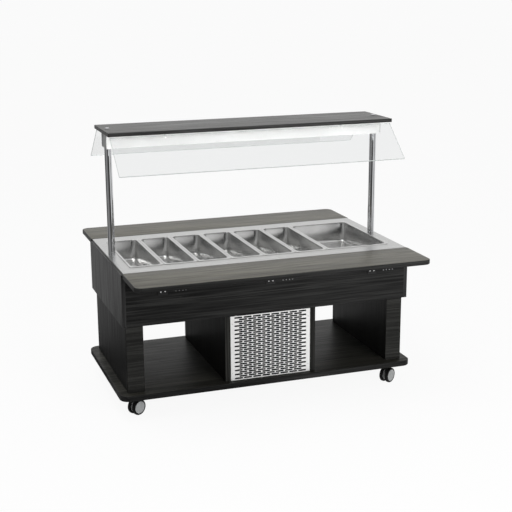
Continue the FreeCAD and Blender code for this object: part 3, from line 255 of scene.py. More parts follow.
# %% [markdown]
# ## Wood-grain laminate
# The boards are chipboard faced with melamine paper, printed with a near-black open grain and pressed
# against a brushed plate, so the sheen breaks up along the grain. A picture of wood could be mapped on, but
# noise stretched along the grain needs no image and never repeats. Three widths of streak are mixed: bands,
# streaks and pores.

# %% Wood-grain laminate
BAND_WIDTH = 120 * MM
STREAK_WIDTH = 7 * MM
PORE_WIDTH = 4.2 * MM  # real pores are under 1 mm wide: drawn coarser so that they show
GRAIN_STRETCH = 65
FIGURE_RANGE = {"From Min": 0.12, "From Max": 0.40}
PORE_RANGE = {"From Min": 0.34, "From Max": 0.58}
PORE_DULLNESS = 0.16
PORE_DEPTH = 0.3 * MM
PORE_STRENGTH = 0.25


def looks_sideways(tree):
    """One on faces that look along X, and zero on the others."""
    normal = add(tree, "ShaderNodeTexCoord").outputs["Normal"]
    along = add(tree, "ShaderNodeSeparateXYZ", {0: normal}).outputs["X"]
    sideways = add(tree, "ShaderNodeMath", {0: along}, operation="ABSOLUTE")
    return add(tree, "ShaderNodeMath", {0: sideways, 1: 0.5}, operation="GREATER_THAN")


def laminate(name, grain, dark, light, roughness, index, inside=None):
    """Melamine-faced board: dark open grain along one axis, with a satin sheen that follows it.

    With an inside tone, faces that look along X have upright grain of that tone, and that tone is painted
    shade on the faces inside the bays.
    """
    material, tree, bsdf = finish_of(name, Roughness=roughness, IOR=index)
    where = add(tree, "ShaderNodeTexCoord").outputs["Object"]
    pale = colour(light)
    # Painted shade: faces that look along X lie inside the bays and take the darker inside tone.
    if inside:
        sideways = looks_sideways(tree)
        pale = add(tree, "ShaderNodeMix", {"Factor": sideways, "A": pale, "B": colour(inside)},
                   data_type="RGBA").outputs["Result"]
    if inside and grain == "X":
        parts = add(tree, "ShaderNodeSeparateXYZ", {0: where}).outputs
        stood = add(tree, "ShaderNodeCombineXYZ", {"X": parts["Z"], "Y": parts["Y"], "Z": parts["X"]})
        # Inputs 4 and 5 and output 1 are this node's vector sockets.
        where = add(tree, "ShaderNodeMix", {"Factor": sideways, 4: where, 5: stood},
                    data_type="VECTOR").outputs[1]
    layers = []
    for width, detail in ((BAND_WIDTH, 2), (STREAK_WIDTH, 3), (PORE_WIDTH, 2)):
        scale = [1 / width] * 3
        scale["XYZ".index(grain)] /= GRAIN_STRETCH
        spot = add(tree, "ShaderNodeMapping", {"Vector": where, "Scale": scale})
        layers.append(add(tree, "ShaderNodeTexNoise", {"Vector": spot, "Scale": 1, "Detail": detail}))
    bands, streaks, pores = layers
    broad = add(tree, "ShaderNodeMath", {0: bands, 1: streaks}, operation="MULTIPLY")
    figure = add(tree, "ShaderNodeMapRange", {"Value": broad, **FIGURE_RANGE})
    fine = add(tree, "ShaderNodeMapRange", {"Value": pores, **PORE_RANGE})
    tone = add(tree, "ShaderNodeMath", {0: figure, 1: fine}, operation="MULTIPLY")
    paint = add(tree, "ShaderNodeMix", {"Factor": tone, "A": colour(dark), "B": pale}, data_type="RGBA")
    sheen = add(tree, "ShaderNodeMapRange", {"Value": fine, "To Min": roughness + PORE_DULLNESS,
                                             "To Max": roughness})
    bump = add(tree, "ShaderNodeBump", {"Height": fine, "Strength": PORE_STRENGTH, "Distance": PORE_DEPTH})
    feed(tree, bsdf, {"Base Color": paint.outputs["Result"], "Roughness": sheen, "Normal": bump})
    return material


print("grain:", round(PORE_WIDTH / MM, 1), "mm pores, stretched", GRAIN_STRETCH, "times")

# %% [markdown]
# ## Boards of the trolley
# One finish for all boards would be simpler, but the legs would then melt into the bays. So each kind of
# board has its own tones and index, and some of those tones are painted light and shade. End boards and
# partitions have upright grain, the others lengthwise.

# %% Boards of the trolley
# Aprons and the ceiling of the bays: nearly black, with satin lines.
lengthwise = laminate("laminate_lengthwise", "X", "#0d0d0d", "#343433", 0.36, 1.33)
# End boards of the upper box: greyer, a painted reflection of the pale floor. Outer sides of the legs: the
# same board darker, painted shade under the upper box, so that the end boards stand off.
upright = laminate("laminate_upright_painted_reflection", "Z", "#131313", "#404040", 0.36, 1.36)
shaded_leg_side = laminate("laminate_leg_sides_painted_shade", "Z", "#050505", "#181818", 0.40, 1.30)
# Shelves: a paler brown-grey. Canopy: a neutral grey.
shelf_face = laminate("laminate_shelf", "X", "#343229", "#6c6858", 0.34, 1.52)
canopy_face = laminate("laminate_canopy", "X", "#2c2c2b", "#737371", 0.36, 1.5)
# Leg facings and partitions: dull. The facings are paler than the aprons, a painted sheen, and the near-black
# tone on the faces inside the bays is painted shade.
leg_face = laminate("laminate_legs", "X", "#1e1e1d", "#3e3e3c", 0.38, 1.16, inside="#0a0a0a")
wall_face = laminate("laminate_partitions", "Z", "#191918", "#40403e", 0.38, 1.08, inside="#0a0a0a")
# Base board: a brown black whose lines show where light falls into the bays.
base_face = laminate("laminate_base", "X", "#171714", "#4b4a44", 0.40, 1.25)
# Edge bands: thin plastic strips, darker and duller than the faces.
edge_band = laminate("edge_band", "X", "#0c0c0c", "#262625", 0.42, 1.36)
shelf_edge = laminate("shelf_edge_band", "X", "#141414", "#2e2e2d", 0.42, 1.38)
canopy_edge = laminate("canopy_edge_band", "X", "#1e1e1e", "#424241", 0.42, 1.40)
print("laminates:", [material.name for material in bpy.data.materials if "laminate" in material.name])

# %% [markdown]
# ## Brushed and cloudy surfaces
# The deck is stainless steel brushed along its length, so its gloss is a soft smear. Brushing could be a
# real bump of thousands of lines, but stretched noise that drives the roughness and a faint bump gives the
# same smear. Moulded, cast, plated and painted surfaces share one recipe: two close tones in soft clouds.

# %% Brushed and cloudy surfaces
BRUSH_WIDTH = 3 * MM  # real brush lines are about 0.1 mm apart: drawn coarser so that they show
BRUSH_STRETCH = 60
BRUSH_RANGE = {"From Min": 0.3, "From Max": 0.7}
CLOUD_RANGE = {"From Min": 0.35, "From Max": 0.65}
GRAIN_RATE = 12  # grains to a cloud
GRAIN_DEPTH = 0.2 * MM


def brushed(name, code, roughness, grain, spread=0.10, lift=0.08):
    """Brushed metal: its lines run along one axis."""
    material, tree, bsdf = finish_of(name, Base_Color=colour(code), Metallic=1, Roughness=roughness)
    scale = [1 / BRUSH_WIDTH] * 3
    scale["XYZ".index(grain)] /= BRUSH_STRETCH
    where = add(tree, "ShaderNodeTexCoord").outputs["Object"]
    spot = add(tree, "ShaderNodeMapping", {"Vector": where, "Scale": scale})
    lines = add(tree, "ShaderNodeTexNoise", {"Vector": spot, "Scale": 1, "Detail": 3})
    gloss = add(tree, "ShaderNodeMapRange", {"Value": lines, **BRUSH_RANGE, "To Min": roughness - spread,
                                             "To Max": roughness + spread})
    bump = add(tree, "ShaderNodeBump", {"Height": lines, "Strength": lift, "Distance": GRAIN_DEPTH})
    feed(tree, bsdf, {"Roughness": gloss, "Normal": bump})
    return material


def cloudy(name, code, other, roughness, size, metallic=0, lift=0, spread=0.06, **shader):
    """A moulded, cast, plated or painted surface: two close tones in soft clouds of a given size."""
    material, tree, bsdf = finish_of(name, Metallic=metallic, Roughness=roughness, **shader)
    where = add(tree, "ShaderNodeTexCoord").outputs["Object"]
    clouds = add(tree, "ShaderNodeTexNoise", {"Vector": where, "Scale": 1 / size, "Detail": 4})
    soft = add(tree, "ShaderNodeMapRange", {"Value": clouds, **CLOUD_RANGE})
    tone = add(tree, "ShaderNodeMix", {"Factor": soft, "A": colour(code), "B": colour(other)},
               data_type="RGBA")
    gloss = add(tree, "ShaderNodeMapRange", {"Value": soft, "To Min": roughness - spread,
                                             "To Max": roughness + spread})
    feed(tree, bsdf, {"Base Color": tone.outputs["Result"], "Roughness": gloss})
    if lift:
        grain = add(tree, "ShaderNodeTexNoise", {"Vector": where, "Scale": GRAIN_RATE / size, "Detail": 2})
        bump = add(tree, "ShaderNodeBump", {"Height": grain, "Strength": lift, "Distance": GRAIN_DEPTH})
        feed(tree, bsdf, {"Normal": bump})
    return material


print("brush lines:", round(BRUSH_WIDTH / MM), "mm wide")

# %% [markdown]
# ## Metals and paints
# The pans are deep drawn, the posts chrome plated and the slotted panels lacquered. One mirror finish could
# serve all bright parts, but they differ in how sharp their reflections are, and that tells them apart.

# %% Metals and paints
# Stainless steel: the deck smears light along its length, and the pans mirror it softly.
deck_steel = brushed("brushed_stainless_deck", "#d2d2d1", 0.34, "X")
pan_steel = cloudy("drawn_stainless_pan", "#d8d8d7", "#cfcfce", 0.24, 120 * MM, metallic=1, spread=0.03)
# Silver lacquer: nearly white and evenly satin.
panel_steel = cloudy("silver_lacquered_panel", "#f4f4f3", "#eeeeed", 0.40, 70 * MM, metallic=0.2, lift=0.04)
# Chrome plate: a sharp mirror of the softboxes and the gaps.
chrome = cloudy("chrome_plate", "#dcdddf", "#d4d5d7", 0.06, 40 * MM, metallic=1, spread=0.02)
# Zinc plate: small bright specks on the black boards. The bracket and panel screw heads take a white, mostly
# matt copy of it, a painted glint that lights them in the shade of the shelf.
zinc = cloudy("zinc_plated_steel", "#f2f3f4", "#e6e7e8", 0.22, 6 * MM, metallic=1)
zinc_painted_glint = cloudy("screw_zinc_painted_glint", "#ffffff", "#f6f6f6", 0.24, 3 * MM, metallic=0.25)
# Condenser fins: near-black, painted shade for the dark machine compartment. Tarnished copper and powder
# coat: dark and dull.
fins_painted_shade = cloudy("condenser_fins_painted_shade", "#0d0d0e", "#17181a", 0.55, 12 * MM, lift=0.1)
copper = cloudy("tarnished_copper", "#3d2a20", "#2b1e17", 0.45, 25 * MM, metallic=1)
bracket_paint = cloudy("black_powder_coat", "#1a1a1a", "#232323", 0.50, 8 * MM, lift=0.15)
# Enamel and motor paint: smooth, with an even gloss.
white_enamel = cloudy("white_enamel", "#f6f6f5", "#f1f1f0", 0.42, 90 * MM)
black_enamel = cloudy("black_enamel", "#101011", "#19191a", 0.28, 30 * MM, lift=0.05)
motor_paint = cloudy("grey_motor_paint", "#55575a", "#45474a", 0.42, 14 * MM, lift=0.08)
print("metals:", deck_steel.name, pan_steel.name, chrome.name)

# %% [markdown]
# ## Glass, plastics and rubber
# The screens are 6 mm float glass: clear, with a faint grey body tint and frosted ground edges. Its index is
# set low, because each pane is crossed twice and a plain renderer loses what real glass passes on by inner
# reflections. The rest is moulded or foamed, and has a fine grain.

# %% Glass, plastics and rubber
SMEAR_SIZE = 180 * MM
SMEAR_RANGE = {"From Min": 0.4, "From Max": 0.7}


def float_glass(name, code, smear, index):
    """Clear glass with a faint body tint and the soft smears that wiping leaves."""
    material, tree, bsdf = finish_of(name, Base_Color=colour(code), IOR=index, Transmission_Weight=1.0)
    where = add(tree, "ShaderNodeTexCoord").outputs["Object"]
    clouds = add(tree, "ShaderNodeTexNoise", {"Vector": where, "Scale": 1 / SMEAR_SIZE, "Detail": 3})
    wiped = add(tree, "ShaderNodeMapRange", {"Value": clouds, **SMEAR_RANGE, "To Min": 0, "To Max": smear})
    feed(tree, bsdf, {"Roughness": wiped})
    return material


# Float glass: a breath of grey, and a pale line where its edge is ground.
glass = float_glass("float_glass", "#f3f4f4", 0.004, 1.3)
ground_edge = cloudy("ground_glass_edge", "#ced3d1", "#c4cac8", 0.40, 30 * MM, IOR=1.3)
# Opal acrylic: milky white.
opal = cloudy("opal_acrylic", "#f5f5f0", "#ededea", 0.30, 60 * MM, IOR=1.49)
# Rubber: dull black. Nylon: satin, in grey and in black, and a pale copy of the grey for the inner discs,
# painted light against the shade between the wheels.
tyre_rubber = cloudy("tyre_rubber", "#050505", "#090909", 0.78, 10 * MM, lift=0.3)
hub_plastic = cloudy("grey_nylon_hub", "#aeb0b0", "#a4a6a6", 0.40, 9 * MM, lift=0.12)
inner_hub_painted_light = cloudy("nylon_hub_painted_light", "#f0f1f1", "#e6e7e7", 0.42, 9 * MM, lift=0.12)
fork_plastic = cloudy("black_nylon", "#0c0c0c", "#131313", 0.50, 8 * MM, lift=0.2)
# Housings and caps: a fine grain. Keys and window: smooth, with a sharp gloss.
case_plastic = cloudy("black_abs", "#151515", "#1c1c1c", 0.44, 6 * MM, lift=0.25)
cap_grey = cloudy("grey_end_cap", "#7d7e7e", "#6c6d6d", 0.42, 30 * MM, lift=0.05)
key_plastic = cloudy("gloss_black_rocker", "#0f0f10", "#161617", 0.20, 12 * MM)
window_plastic = cloudy("smoked_window", "#120909", "#1b0d0d", 0.10, 20 * MM)
# Foam: open cells without any gloss.
foam = cloudy("polyurethane_foam", "#e3d5a6", "#d2c290", 0.85, 9 * MM, lift=0.5)
filter_foam_painted_shade = cloudy("black_foam_painted_shade", "#030303", "#080808", 0.92, 5 * MM, lift=0.5)
print("clear and moulded:", glass.name, opal.name, tyre_rubber.name)

# %% [markdown]
# ## Finishes on the CAD nodes
# A CAD piece whose shape is already right keeps its mesh and only gets a finish. Each could be set by hand,
# but a table shows them at a glance.

# %% Finishes on the CAD nodes
FINISHES = {
    lengthwise: ["front_apron", "rear_apron", "bay_ceiling"],
    # Leg boards and partitions: painted shade on the faces inside the bays.
    leg_face: ["left_leg_boards", "right_leg_boards"],
    wall_face: ["left_partition", "right_partition"],
    # End boards: a painted reflection of the floor. Outer leg sides: painted shade.
    upright: ["left_side_board", "right_side_board"],
    shaded_leg_side: ["left_outer_side", "right_outer_side"],
    deck_steel: ["steel_deck", "well_liner", "pan_support_bars"],
    panel_steel: ["front_grille", "rear_panel"],
    chrome: ["left_post", "right_post"],
    white_enamel: ["light_housing", "glass_clips"],
    opal: ["lamp_and_diffuser"],
    bracket_paint: ["bracket_plates", "front_shelf_arms", "rear_shelf_arms"],
    # The condenser's near-black is painted shade.
    fins_painted_shade: ["condenser"],
    black_enamel: ["compressor"],
    motor_paint: ["fan_motor"],
    copper: ["refrigerant_pipes"],
    foam: ["well_insulation"],
    case_plastic: ["control_housings", "inlet_gland", "fan_blade"],
    key_plastic: ["main_switch", "light_switch"],
}
for finish, names in FINISHES.items():
    for name in names:
        frame["nodes"][name].data.materials.clear()
        frame["nodes"][name].data.materials.append(finish)
print("finished CAD nodes:", sum(len(names) for names in FINISHES.values()))

# %% [markdown]
# ## Rings and lofts
# Boards with round corners and pressed pans are both stacks of the same outline: a rectangle with rounded
# corners, drawn at different heights and insets and skinned over. A Bevel modifier on a box could round a
# board, but in a loft the strips are easy to tell from the end caps, so an edge band can differ from a face.

# %% Rings and lofts
CORNER_STEPS = 8
MERGE_DISTANCE = 0.001 * MM
SMOOTH_BELOW = 35  # degrees: a sharper edge than this is kept crisp


def ring(low, high, inset, radii, height):
    """An inset rectangle with four rounded corners, anticlockwise from the front right-hand one."""
    left, front = low[0] + inset, low[1] + inset
    right, back = high[0] - inset, high[1] - inset
    corners = [(right, front, -1, 1), (right, back, -1, -1), (left, back, 1, -1), (left, front, 1, 1)]
    points = []
    for i, (x, y, sx, sy) in enumerate(corners):
        for step in range(CORNER_STEPS + 1):
            angle = math.pi / 2 * (i - 1 + step / CORNER_STEPS)
            across = radii[i] * (sx + math.cos(angle))
            along = radii[i] * (sy + math.sin(angle))
            points.append((x + across, y + along, height))
    return points


def skin(mesh, rows, slots):
    """Joins closed rows of points by strips of faces. slots gives each strip's finish."""
    for below, over, slot in zip(rows, rows[1:], slots):
        for i, start in enumerate(below):
            j = (i + 1) % len(below)
            mesh.faces.new((start, below[j], over[j], over[i])).material_index = slot


def loft(rings, slot=0):
    """A closed skin over rings of equal length, capped at both ends, all of one finish."""
    mesh = bmesh.new()
    rows = [[mesh.verts.new(point) for point in points] for points in rings]
    skin(mesh, rows, [slot] * len(rows))
    for cap in (rows[0][::-1], rows[-1]):
        mesh.faces.new(cap).material_index = slot
    return mesh


def piece(name, mesh, finishes, body, nodes=(), smooth=SMOOTH_BELOW):
    """Makes a finished object of a mesh, riding on a body and standing for CAD nodes."""
    bmesh.ops.remove_doubles(mesh, verts=mesh.verts, dist=MERGE_DISTANCE)
    bmesh.ops.recalc_face_normals(mesh, faces=mesh.faces)
    data = bpy.data.meshes.new(name)
    mesh.to_mesh(data)
    mesh.free()
    return finished(name, data, finishes, body, nodes, smooth)


def finished(name, data, finishes, body, nodes=(), smooth=SMOOTH_BELOW):
    """Gives a plain mesh its finishes, where it has none yet, and its place among the bodies."""
    for finish in finishes:
        data.materials.append(finish)
    data.shade_smooth()
    data.set_sharp_from_angle(angle=math.radians(smooth))
    thing = bpy.data.objects.new(name, data)
    scene.collection.objects.link(thing)
    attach(thing, body)
    if nodes:
        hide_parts(*nodes)
    return thing


print("a ring has", 4 * (CORNER_STEPS + 1), "points")

# %% [markdown]
# ## Boards with rounded corners
# The base, both shelves and the canopy are thick boards with a plastic band glued round the edge and its
# corners eased. Each is one loft: lower face, rounded band, upper face. Only the outer corners of a shelf
# are rounded, because its inner edge meets the deck.

# %% Boards with rounded corners
EASE_STEPS = 4
SQUARE_SPARE = 1.05  # leaves the innermost ring of a square corner some radius
# Each board's body, corner radius, edge ease, face, edge band and the side along Y whose corners stay square.
BOARDS = {
    "base_board": ("chassis", 45 * MM, 3 * MM, base_face, edge_band, 0),
    "front_shelf": ("front_flap", 36 * MM, 3.5 * MM, shelf_face, shelf_edge, 1),
    "rear_shelf": ("rear_flap", 36 * MM, 3.5 * MM, shelf_face, shelf_edge, -1),
    "canopy_board": ("chassis", 4 * MM, 1.5 * MM, canopy_face, canopy_edge, 0),
}


def board(node, body, corner, ease, face, edge, square_side):
    """A laminate board in a CAD node's place."""
    low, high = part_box(node)
    radii = [ease * SQUARE_SPARE if side == square_side else corner for side in (-1, 1, 1, -1)]
    rings = []
    for step in range(2 * EASE_STEPS + 2):
        upper = step > EASE_STEPS
        angle = math.pi / 2 * (step - upper) / EASE_STEPS
        inset = ease * (1 - math.sin(angle))
        height = (high.z - ease if upper else low.z + ease) - ease * math.cos(angle)
        rings.append(ring(low, high, inset, [radius - inset for radius in radii], height))
    mesh = loft(rings, slot=1)
    for cap in mesh.faces:
        if len(cap.verts) > 4:
            cap.material_index = 0
    return piece(f"{node}_board", mesh, [face, edge], body, [node])


boards = [board(node, *settings) for node, settings in BOARDS.items()]
print("boards:", [len(made.data.polygons) for made in boards], "faces")

# %% [markdown]
# ## Pans
# A catering pan is drawn from one sheet: a flat rim with a rolled edge, a step just below it so that stacked
# pans come apart, sides that taper in and a floor with a wide radius. It could be a subdivided box, but the
# radii would then drift. A loft keeps to the pressed profile.

# %% Pans
RIM_CORNER = 12 * MM
RIM_WIDTH = 10 * MM
RIM_ROLL = 1.6 * MM
RIM_DEPTH = 3.5 * MM
THROAT_ROUND = 2 * MM
BASIN_CORNER = 26 * MM
STEP_DROP = 14 * MM
STEP_IN = 2.2 * MM
DRAFT = math.tan(math.radians(3))
FLOOR_ROUND = 15 * MM
SHEET = 1.0 * MM
ARC_STEPS = 5


def arc(inset, height, radius, start, end):
    """Points of a quarter bend in a pan's profile, as inset and height."""
    angles = [math.radians(start + (end - start) * i / ARC_STEPS) for i in range(ARC_STEPS + 1)]
    return [(inset + radius * math.cos(a), height + radius * math.sin(a)) for a in angles]


def basin(lip, mouth, floor, bend):
    """Profile of the basin from its mouth down to the edge of its flat floor."""
    step = mouth - STEP_DROP
    foot = lip + STEP_IN + DRAFT * (step - floor - bend)
    return [(lip, step + STEP_IN), (lip + STEP_IN, step - STEP_IN),
            *arc(foot + bend, floor + bend, bend, 180, 270)]


def pan(node, body):
    """A pressed steel pan in its CAD node's place."""
    low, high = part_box(node)
    inner = basin(RIM_WIDTH + SHEET, high.z, low.z + SHEET, FLOOR_ROUND - SHEET)
    outer = basin(RIM_WIDTH, high.z, low.z, FLOOR_ROUND)
    under = high.z - RIM_DEPTH
    throat = arc(RIM_WIDTH - SHEET, high.z - THROAT_ROUND, THROAT_ROUND, 90, 0)
    roll = arc(RIM_ROLL, high.z - RIM_ROLL, RIM_ROLL, 90, 180)
    profile = inner[::-1] + throat[::-1] + roll + [(0, under), (SHEET, under), (RIM_WIDTH, under)] + outer
    rings = []
    for inset, height in profile:
        share = min(max((inset - RIM_ROLL) / (RIM_WIDTH - RIM_ROLL), 0), 1)
        corner = RIM_CORNER + (BASIN_CORNER - RIM_CORNER) * share - max(inset - RIM_WIDTH, 0) / 2
        rings.append(ring(low, high, inset, [corner] * 4, height))
    return piece(f"{node}_pressing", loft(rings), [pan_steel], body, [node])


pan_nodes = [name for name in sorted(frame["nodes"]) if "_pan_" in name or name.endswith("_pan")]
pans = [pan(name, f"{name}_body") for name in pan_nodes]
print("pans:", len(pans), "of", len(pans[0].data.polygons), "faces")

# %% [markdown]
# ## Screw heads
# The brackets and the slotted panels are held by small pan-head screws with a cross recess. All heads are
# the same, so a Geometry Nodes tree makes one, cuts its cross and sets a copy on each marked point, turned
# the way the point faces.

# %% Screw heads
HEAD_SIDES = 24
CROWN_SHARE = 0.45


def screw_tree(name, finish):
    """Nodes that put a cross-recessed screw head on every point, facing the way the point says."""
    tree = bpy.data.node_groups.new(name, "GeometryNodeTree")
    tree.interface.new_socket("Points", in_out="INPUT", socket_type="NodeSocketGeometry")
    for label in ("Radius", "Height", "Recess"):
        tree.interface.new_socket(label, in_out="INPUT", socket_type="NodeSocketFloat")
    tree.interface.new_socket("Heads", in_out="OUTPUT", socket_type="NodeSocketGeometry")
    given = add(tree, "NodeGroupInput").outputs
    crown = add(tree, "ShaderNodeMath", {0: given["Radius"], 1: CROWN_SHARE}, operation="MULTIPLY")
    head = add(tree, "GeometryNodeMeshCone", {"Vertices": HEAD_SIDES, "Radius Top": crown,
                                              "Radius Bottom": given["Radius"], "Depth": given["Height"]})
    top = add(tree, "ShaderNodeCombineXYZ", {"Z": given["Height"]})
    crossed = add(tree, "GeometryNodeMeshBoolean", {"Mesh 1": head}, operation="DIFFERENCE")
    for sides in ((crown, given["Recess"]), (given["Recess"], crown)):
        size = add(tree, "ShaderNodeCombineXYZ", {"X": sides[0], "Y": sides[1], "Z": given["Height"]})
        bar = add(tree, "GeometryNodeMeshCube", {"Size": size})
        raised = add(tree, "GeometryNodeTransform", {"Geometry": bar, "Translation": top})
        feed(tree, crossed, {"Mesh 2": raised})
    way = add(tree, "GeometryNodeInputNamedAttribute", {"Name": "facing"}, data_type="FLOAT_VECTOR")
    turned = add(tree, "FunctionNodeAlignRotationToVector", {"Vector": way.outputs["Attribute"]}, axis="Z")
    copies = add(tree, "GeometryNodeInstanceOnPoints", {"Points": given["Points"], "Rotation": turned,
                                                        "Instance": crossed})
    real = add(tree, "GeometryNodeRealizeInstances", {0: copies})
    coated = add(tree, "GeometryNodeSetMaterial", {"Geometry": real, "Material": finish})
    add(tree, "NodeGroupOutput", {"Heads": coated})
    return tree


# The heads wear the white copy of zinc: a painted glint.
cross_screws = screw_tree("cross_screws", zinc_painted_glint)
print("screw tree:", len(cross_screws.nodes), "nodes")

# %% [markdown]
# ## Screws in their places
# A mesh of bare points carries the tree as a modifier, and each point knows which way it faces. The modifier
# could stay live, but an exported model keeps no instances, so its result is taken off as a plain mesh. The
# points are the roots of the plain CAD heads, found by walking the islands of that node's merged mesh.

# %% Screws in their places
ISLAND_MERGE = 0.01 * MM
SCREW_RECESS = 1.1 * MM


def islands(node):
    """The lowest and highest corners of each separate solid in a CAD node."""
    mesh = bmesh.new()
    mesh.from_mesh(frame["nodes"][node].data)
    bmesh.ops.remove_doubles(mesh, verts=mesh.verts, dist=ISLAND_MERGE)
    left = set(mesh.verts)
    boxes = []
    while left:
        queue = [left.pop()]
        corners = []
        while queue:
            vert = queue.pop()
            corners.append(vert.co.copy())
            for edge in vert.link_edges:
                other = edge.other_vert(vert)
                if other in left:
                    left.remove(other)
                    queue.append(other)
        boxes.append([Vector(map(pick, *corners)) for pick in (min, max)])
    mesh.free()
    return boxes


def grown_on(places, tree, sizes):
    """A plain mesh of what a node tree makes on points that know which way they face."""
    seed = bpy.data.meshes.new(tree.name)
    seed.from_pydata([spot for spot, way in places], [], [])
    facing = seed.attributes.new("facing", "FLOAT_VECTOR", "POINT")
    for mark, (spot, way) in zip(facing.data, places):
        mark.vector = way
    holder = bpy.data.objects.new(tree.name, seed)
    scene.collection.objects.link(holder)
    modifier = holder.modifiers.new(tree.name, "NODES")
    modifier.node_group = tree
    for item in tree.interface.items_tree:
        if item.name in sizes:
            modifier[item.identifier] = sizes[item.name]
    plain = bpy.data.meshes.new_from_object(holder.evaluated_get(bpy.context.evaluated_depsgraph_get()))
    holder.modifiers.remove(modifier)
    bpy.data.objects.remove(holder)
    return plain


def seat_of(low, high):
    """Where a solid's box meets the wall behind it along Y, and the way that it faces."""
    out = -1 if low.y < 0 else 1
    return high.y if out < 0 else low.y, (0, out, 0)


heads = islands("screws")
seats = []
for low, high in heads:
    wall, way = seat_of(low, high)
    seats.append((((low.x + high.x) / 2, wall, (low.z + high.z) / 2), way))
low, high = heads[0]
sizes = {"Radius": (high.x - low.x) / 2, "Height": high.y - low.y, "Recess": SCREW_RECESS}
grown = grown_on(seats, cross_screws, sizes)
screws = finished("screw_heads", grown, [], "chassis", ["screws"])
print("screws:", len(seats), "with", len(screws.data.polygons), "faces")

# %% [markdown]
# ## Glass screens
# Each screen is a flat pane that slants out from under the canopy, with ground and eased edges. A box with a
# glass finish would do, but then the cut edge would be as clear as the face. So an eased section is run
# along the canopy, and its narrow strips are frosted. The panes throw no shadow, because lamps pass
# through them.

# %% Glass screens
PANE_THICKNESS = 6 * MM
PANE_EASE = 0.9 * MM
PANE_SMOOTH = 20
CLEAR_AREA = 0.05  # square metres: only the two clear faces of a pane are larger
TILT_ROUNDS = 20


def tilt_of(depth, height):
    """The slope of a pane that just fits a box of that depth and height."""
    tilt = math.atan2(height, depth)
    for _ in range(TILT_ROUNDS):
        tilt = math.atan2(height - PANE_THICKNESS * math.cos(tilt), depth - PANE_THICKNESS * math.sin(tilt))
    return tilt


def pane(node, out):
    """A slanted pane in its CAD node's place. out is the way that it leans along Y, -1 or 1."""
    low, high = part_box(node)
    tilt = tilt_of(high.y - low.y, high.z - low.z)
    inward = Vector((0, -out * math.sin(tilt), -math.cos(tilt)))
    slope = Vector((0, out * math.cos(tilt), -math.sin(tilt)))
    thick = inward * PANE_THICKNESS
    width = (high.z - low.z + thick.z) / math.sin(tilt)
    top = Vector((0, (low.y if out > 0 else high.y) - thick.y, high.z))
    far = slope * width
    middle = top + (far + thick) / 2
    easy = inward * PANE_EASE
    along = slope * PANE_EASE
    section = [top + along, top + far - along, top + far + easy, top + far + thick - easy,
               top + far + thick - along, top + thick + along, top + thick - easy, top + easy]
    rings = []
    ends = ((low.x, PANE_EASE), (low.x + PANE_EASE, 0), (high.x - PANE_EASE, 0), (high.x, PANE_EASE))
    for x, inset in ends:
        shrunk = []
        for point in section:
            across = (point - middle).dot(slope) * (1 - 2 * inset / width)
            through = (point - middle).dot(inward) * (1 - 2 * inset / PANE_THICKNESS)
            shrunk.append(middle + slope * across + inward * through + Vector((x, 0, 0)))
        rings.append(shrunk)
    mesh = loft(rings, slot=1)
    for face in mesh.faces:
        if face.calc_area() > CLEAR_AREA:
            face.material_index = 0
    made = piece(f"{node}_pane", mesh, [glass, ground_edge], "chassis", [node], PANE_SMOOTH)
    made.visible_shadow = False
    return made


panes = [pane("front_glass", -1), pane("rear_glass", 1)]
print("panes:", [len(made.data.polygons) for made in panes], "faces")

# %% [markdown]
# ## Wheels
# Each corner stands on a twin-wheel caster: two rubber tyres, each with a grey nylon disc outside, a pale one
# inside and a blind bore for the axle. The inner disc's paleness is painted light, against the shade that the
# near wheel casts on it. A bevelled cylinder would look like a puck, so a wheel is made the way a lathe makes
# it, by spinning a profile. Its place and axis come from the joints.

# %% Wheels
SPIN_STEPS = 56
AXLE_HALF = 18 * MM
AXLE_RADIUS = 4 * MM
BORE_PLAY = 0.5 * MM
TREAD_ROUND = 6 * MM
TREAD_STEPS = 5
MOUTH_DEPTH = 1.6
# The inner disc outwards and the outer one inwards: a share of the wheel's radius, and a depth in mm.
INNER_DISC = ((0.30, MOUTH_DEPTH), (0.34, 3.2), (0.70, 2.6), (0.75, 1.2), (0.77, 0.8))
OUTER_DISC = ((0.77, 0.8), (0.75, 1.4), (0.70, 0.9), (0.67, 0.5), (0.63, 1.1), (0.24, 0.6), (0.21, 1.0),
              (0.18, 0.4), (0, 0.2))
joints = {joint["name"]: joint for joint in frame["joints"]}


def spun(profile, slots, place):
    """Spins a profile of radius and height about the local Z axis. place carries it into the frame."""
    mesh = bmesh.new()
    turns = [2 * math.pi * i / SPIN_STEPS for i in range(SPIN_STEPS)]
    rows = []
    for radius, height in profile:
        points = [Vector((radius * math.cos(turn), radius * math.sin(turn), height)) for turn in turns]
        rows.append([mesh.verts.new(place @ point) for point in points])
    skin(mesh, rows, slots)
    return mesh


def standing_on(axis, origin):
    """The matrix whose Z axis is that axis, at that origin."""
    return Matrix.Translation(origin) @ axis.to_track_quat("Z", "Y").to_matrix().to_4x4()


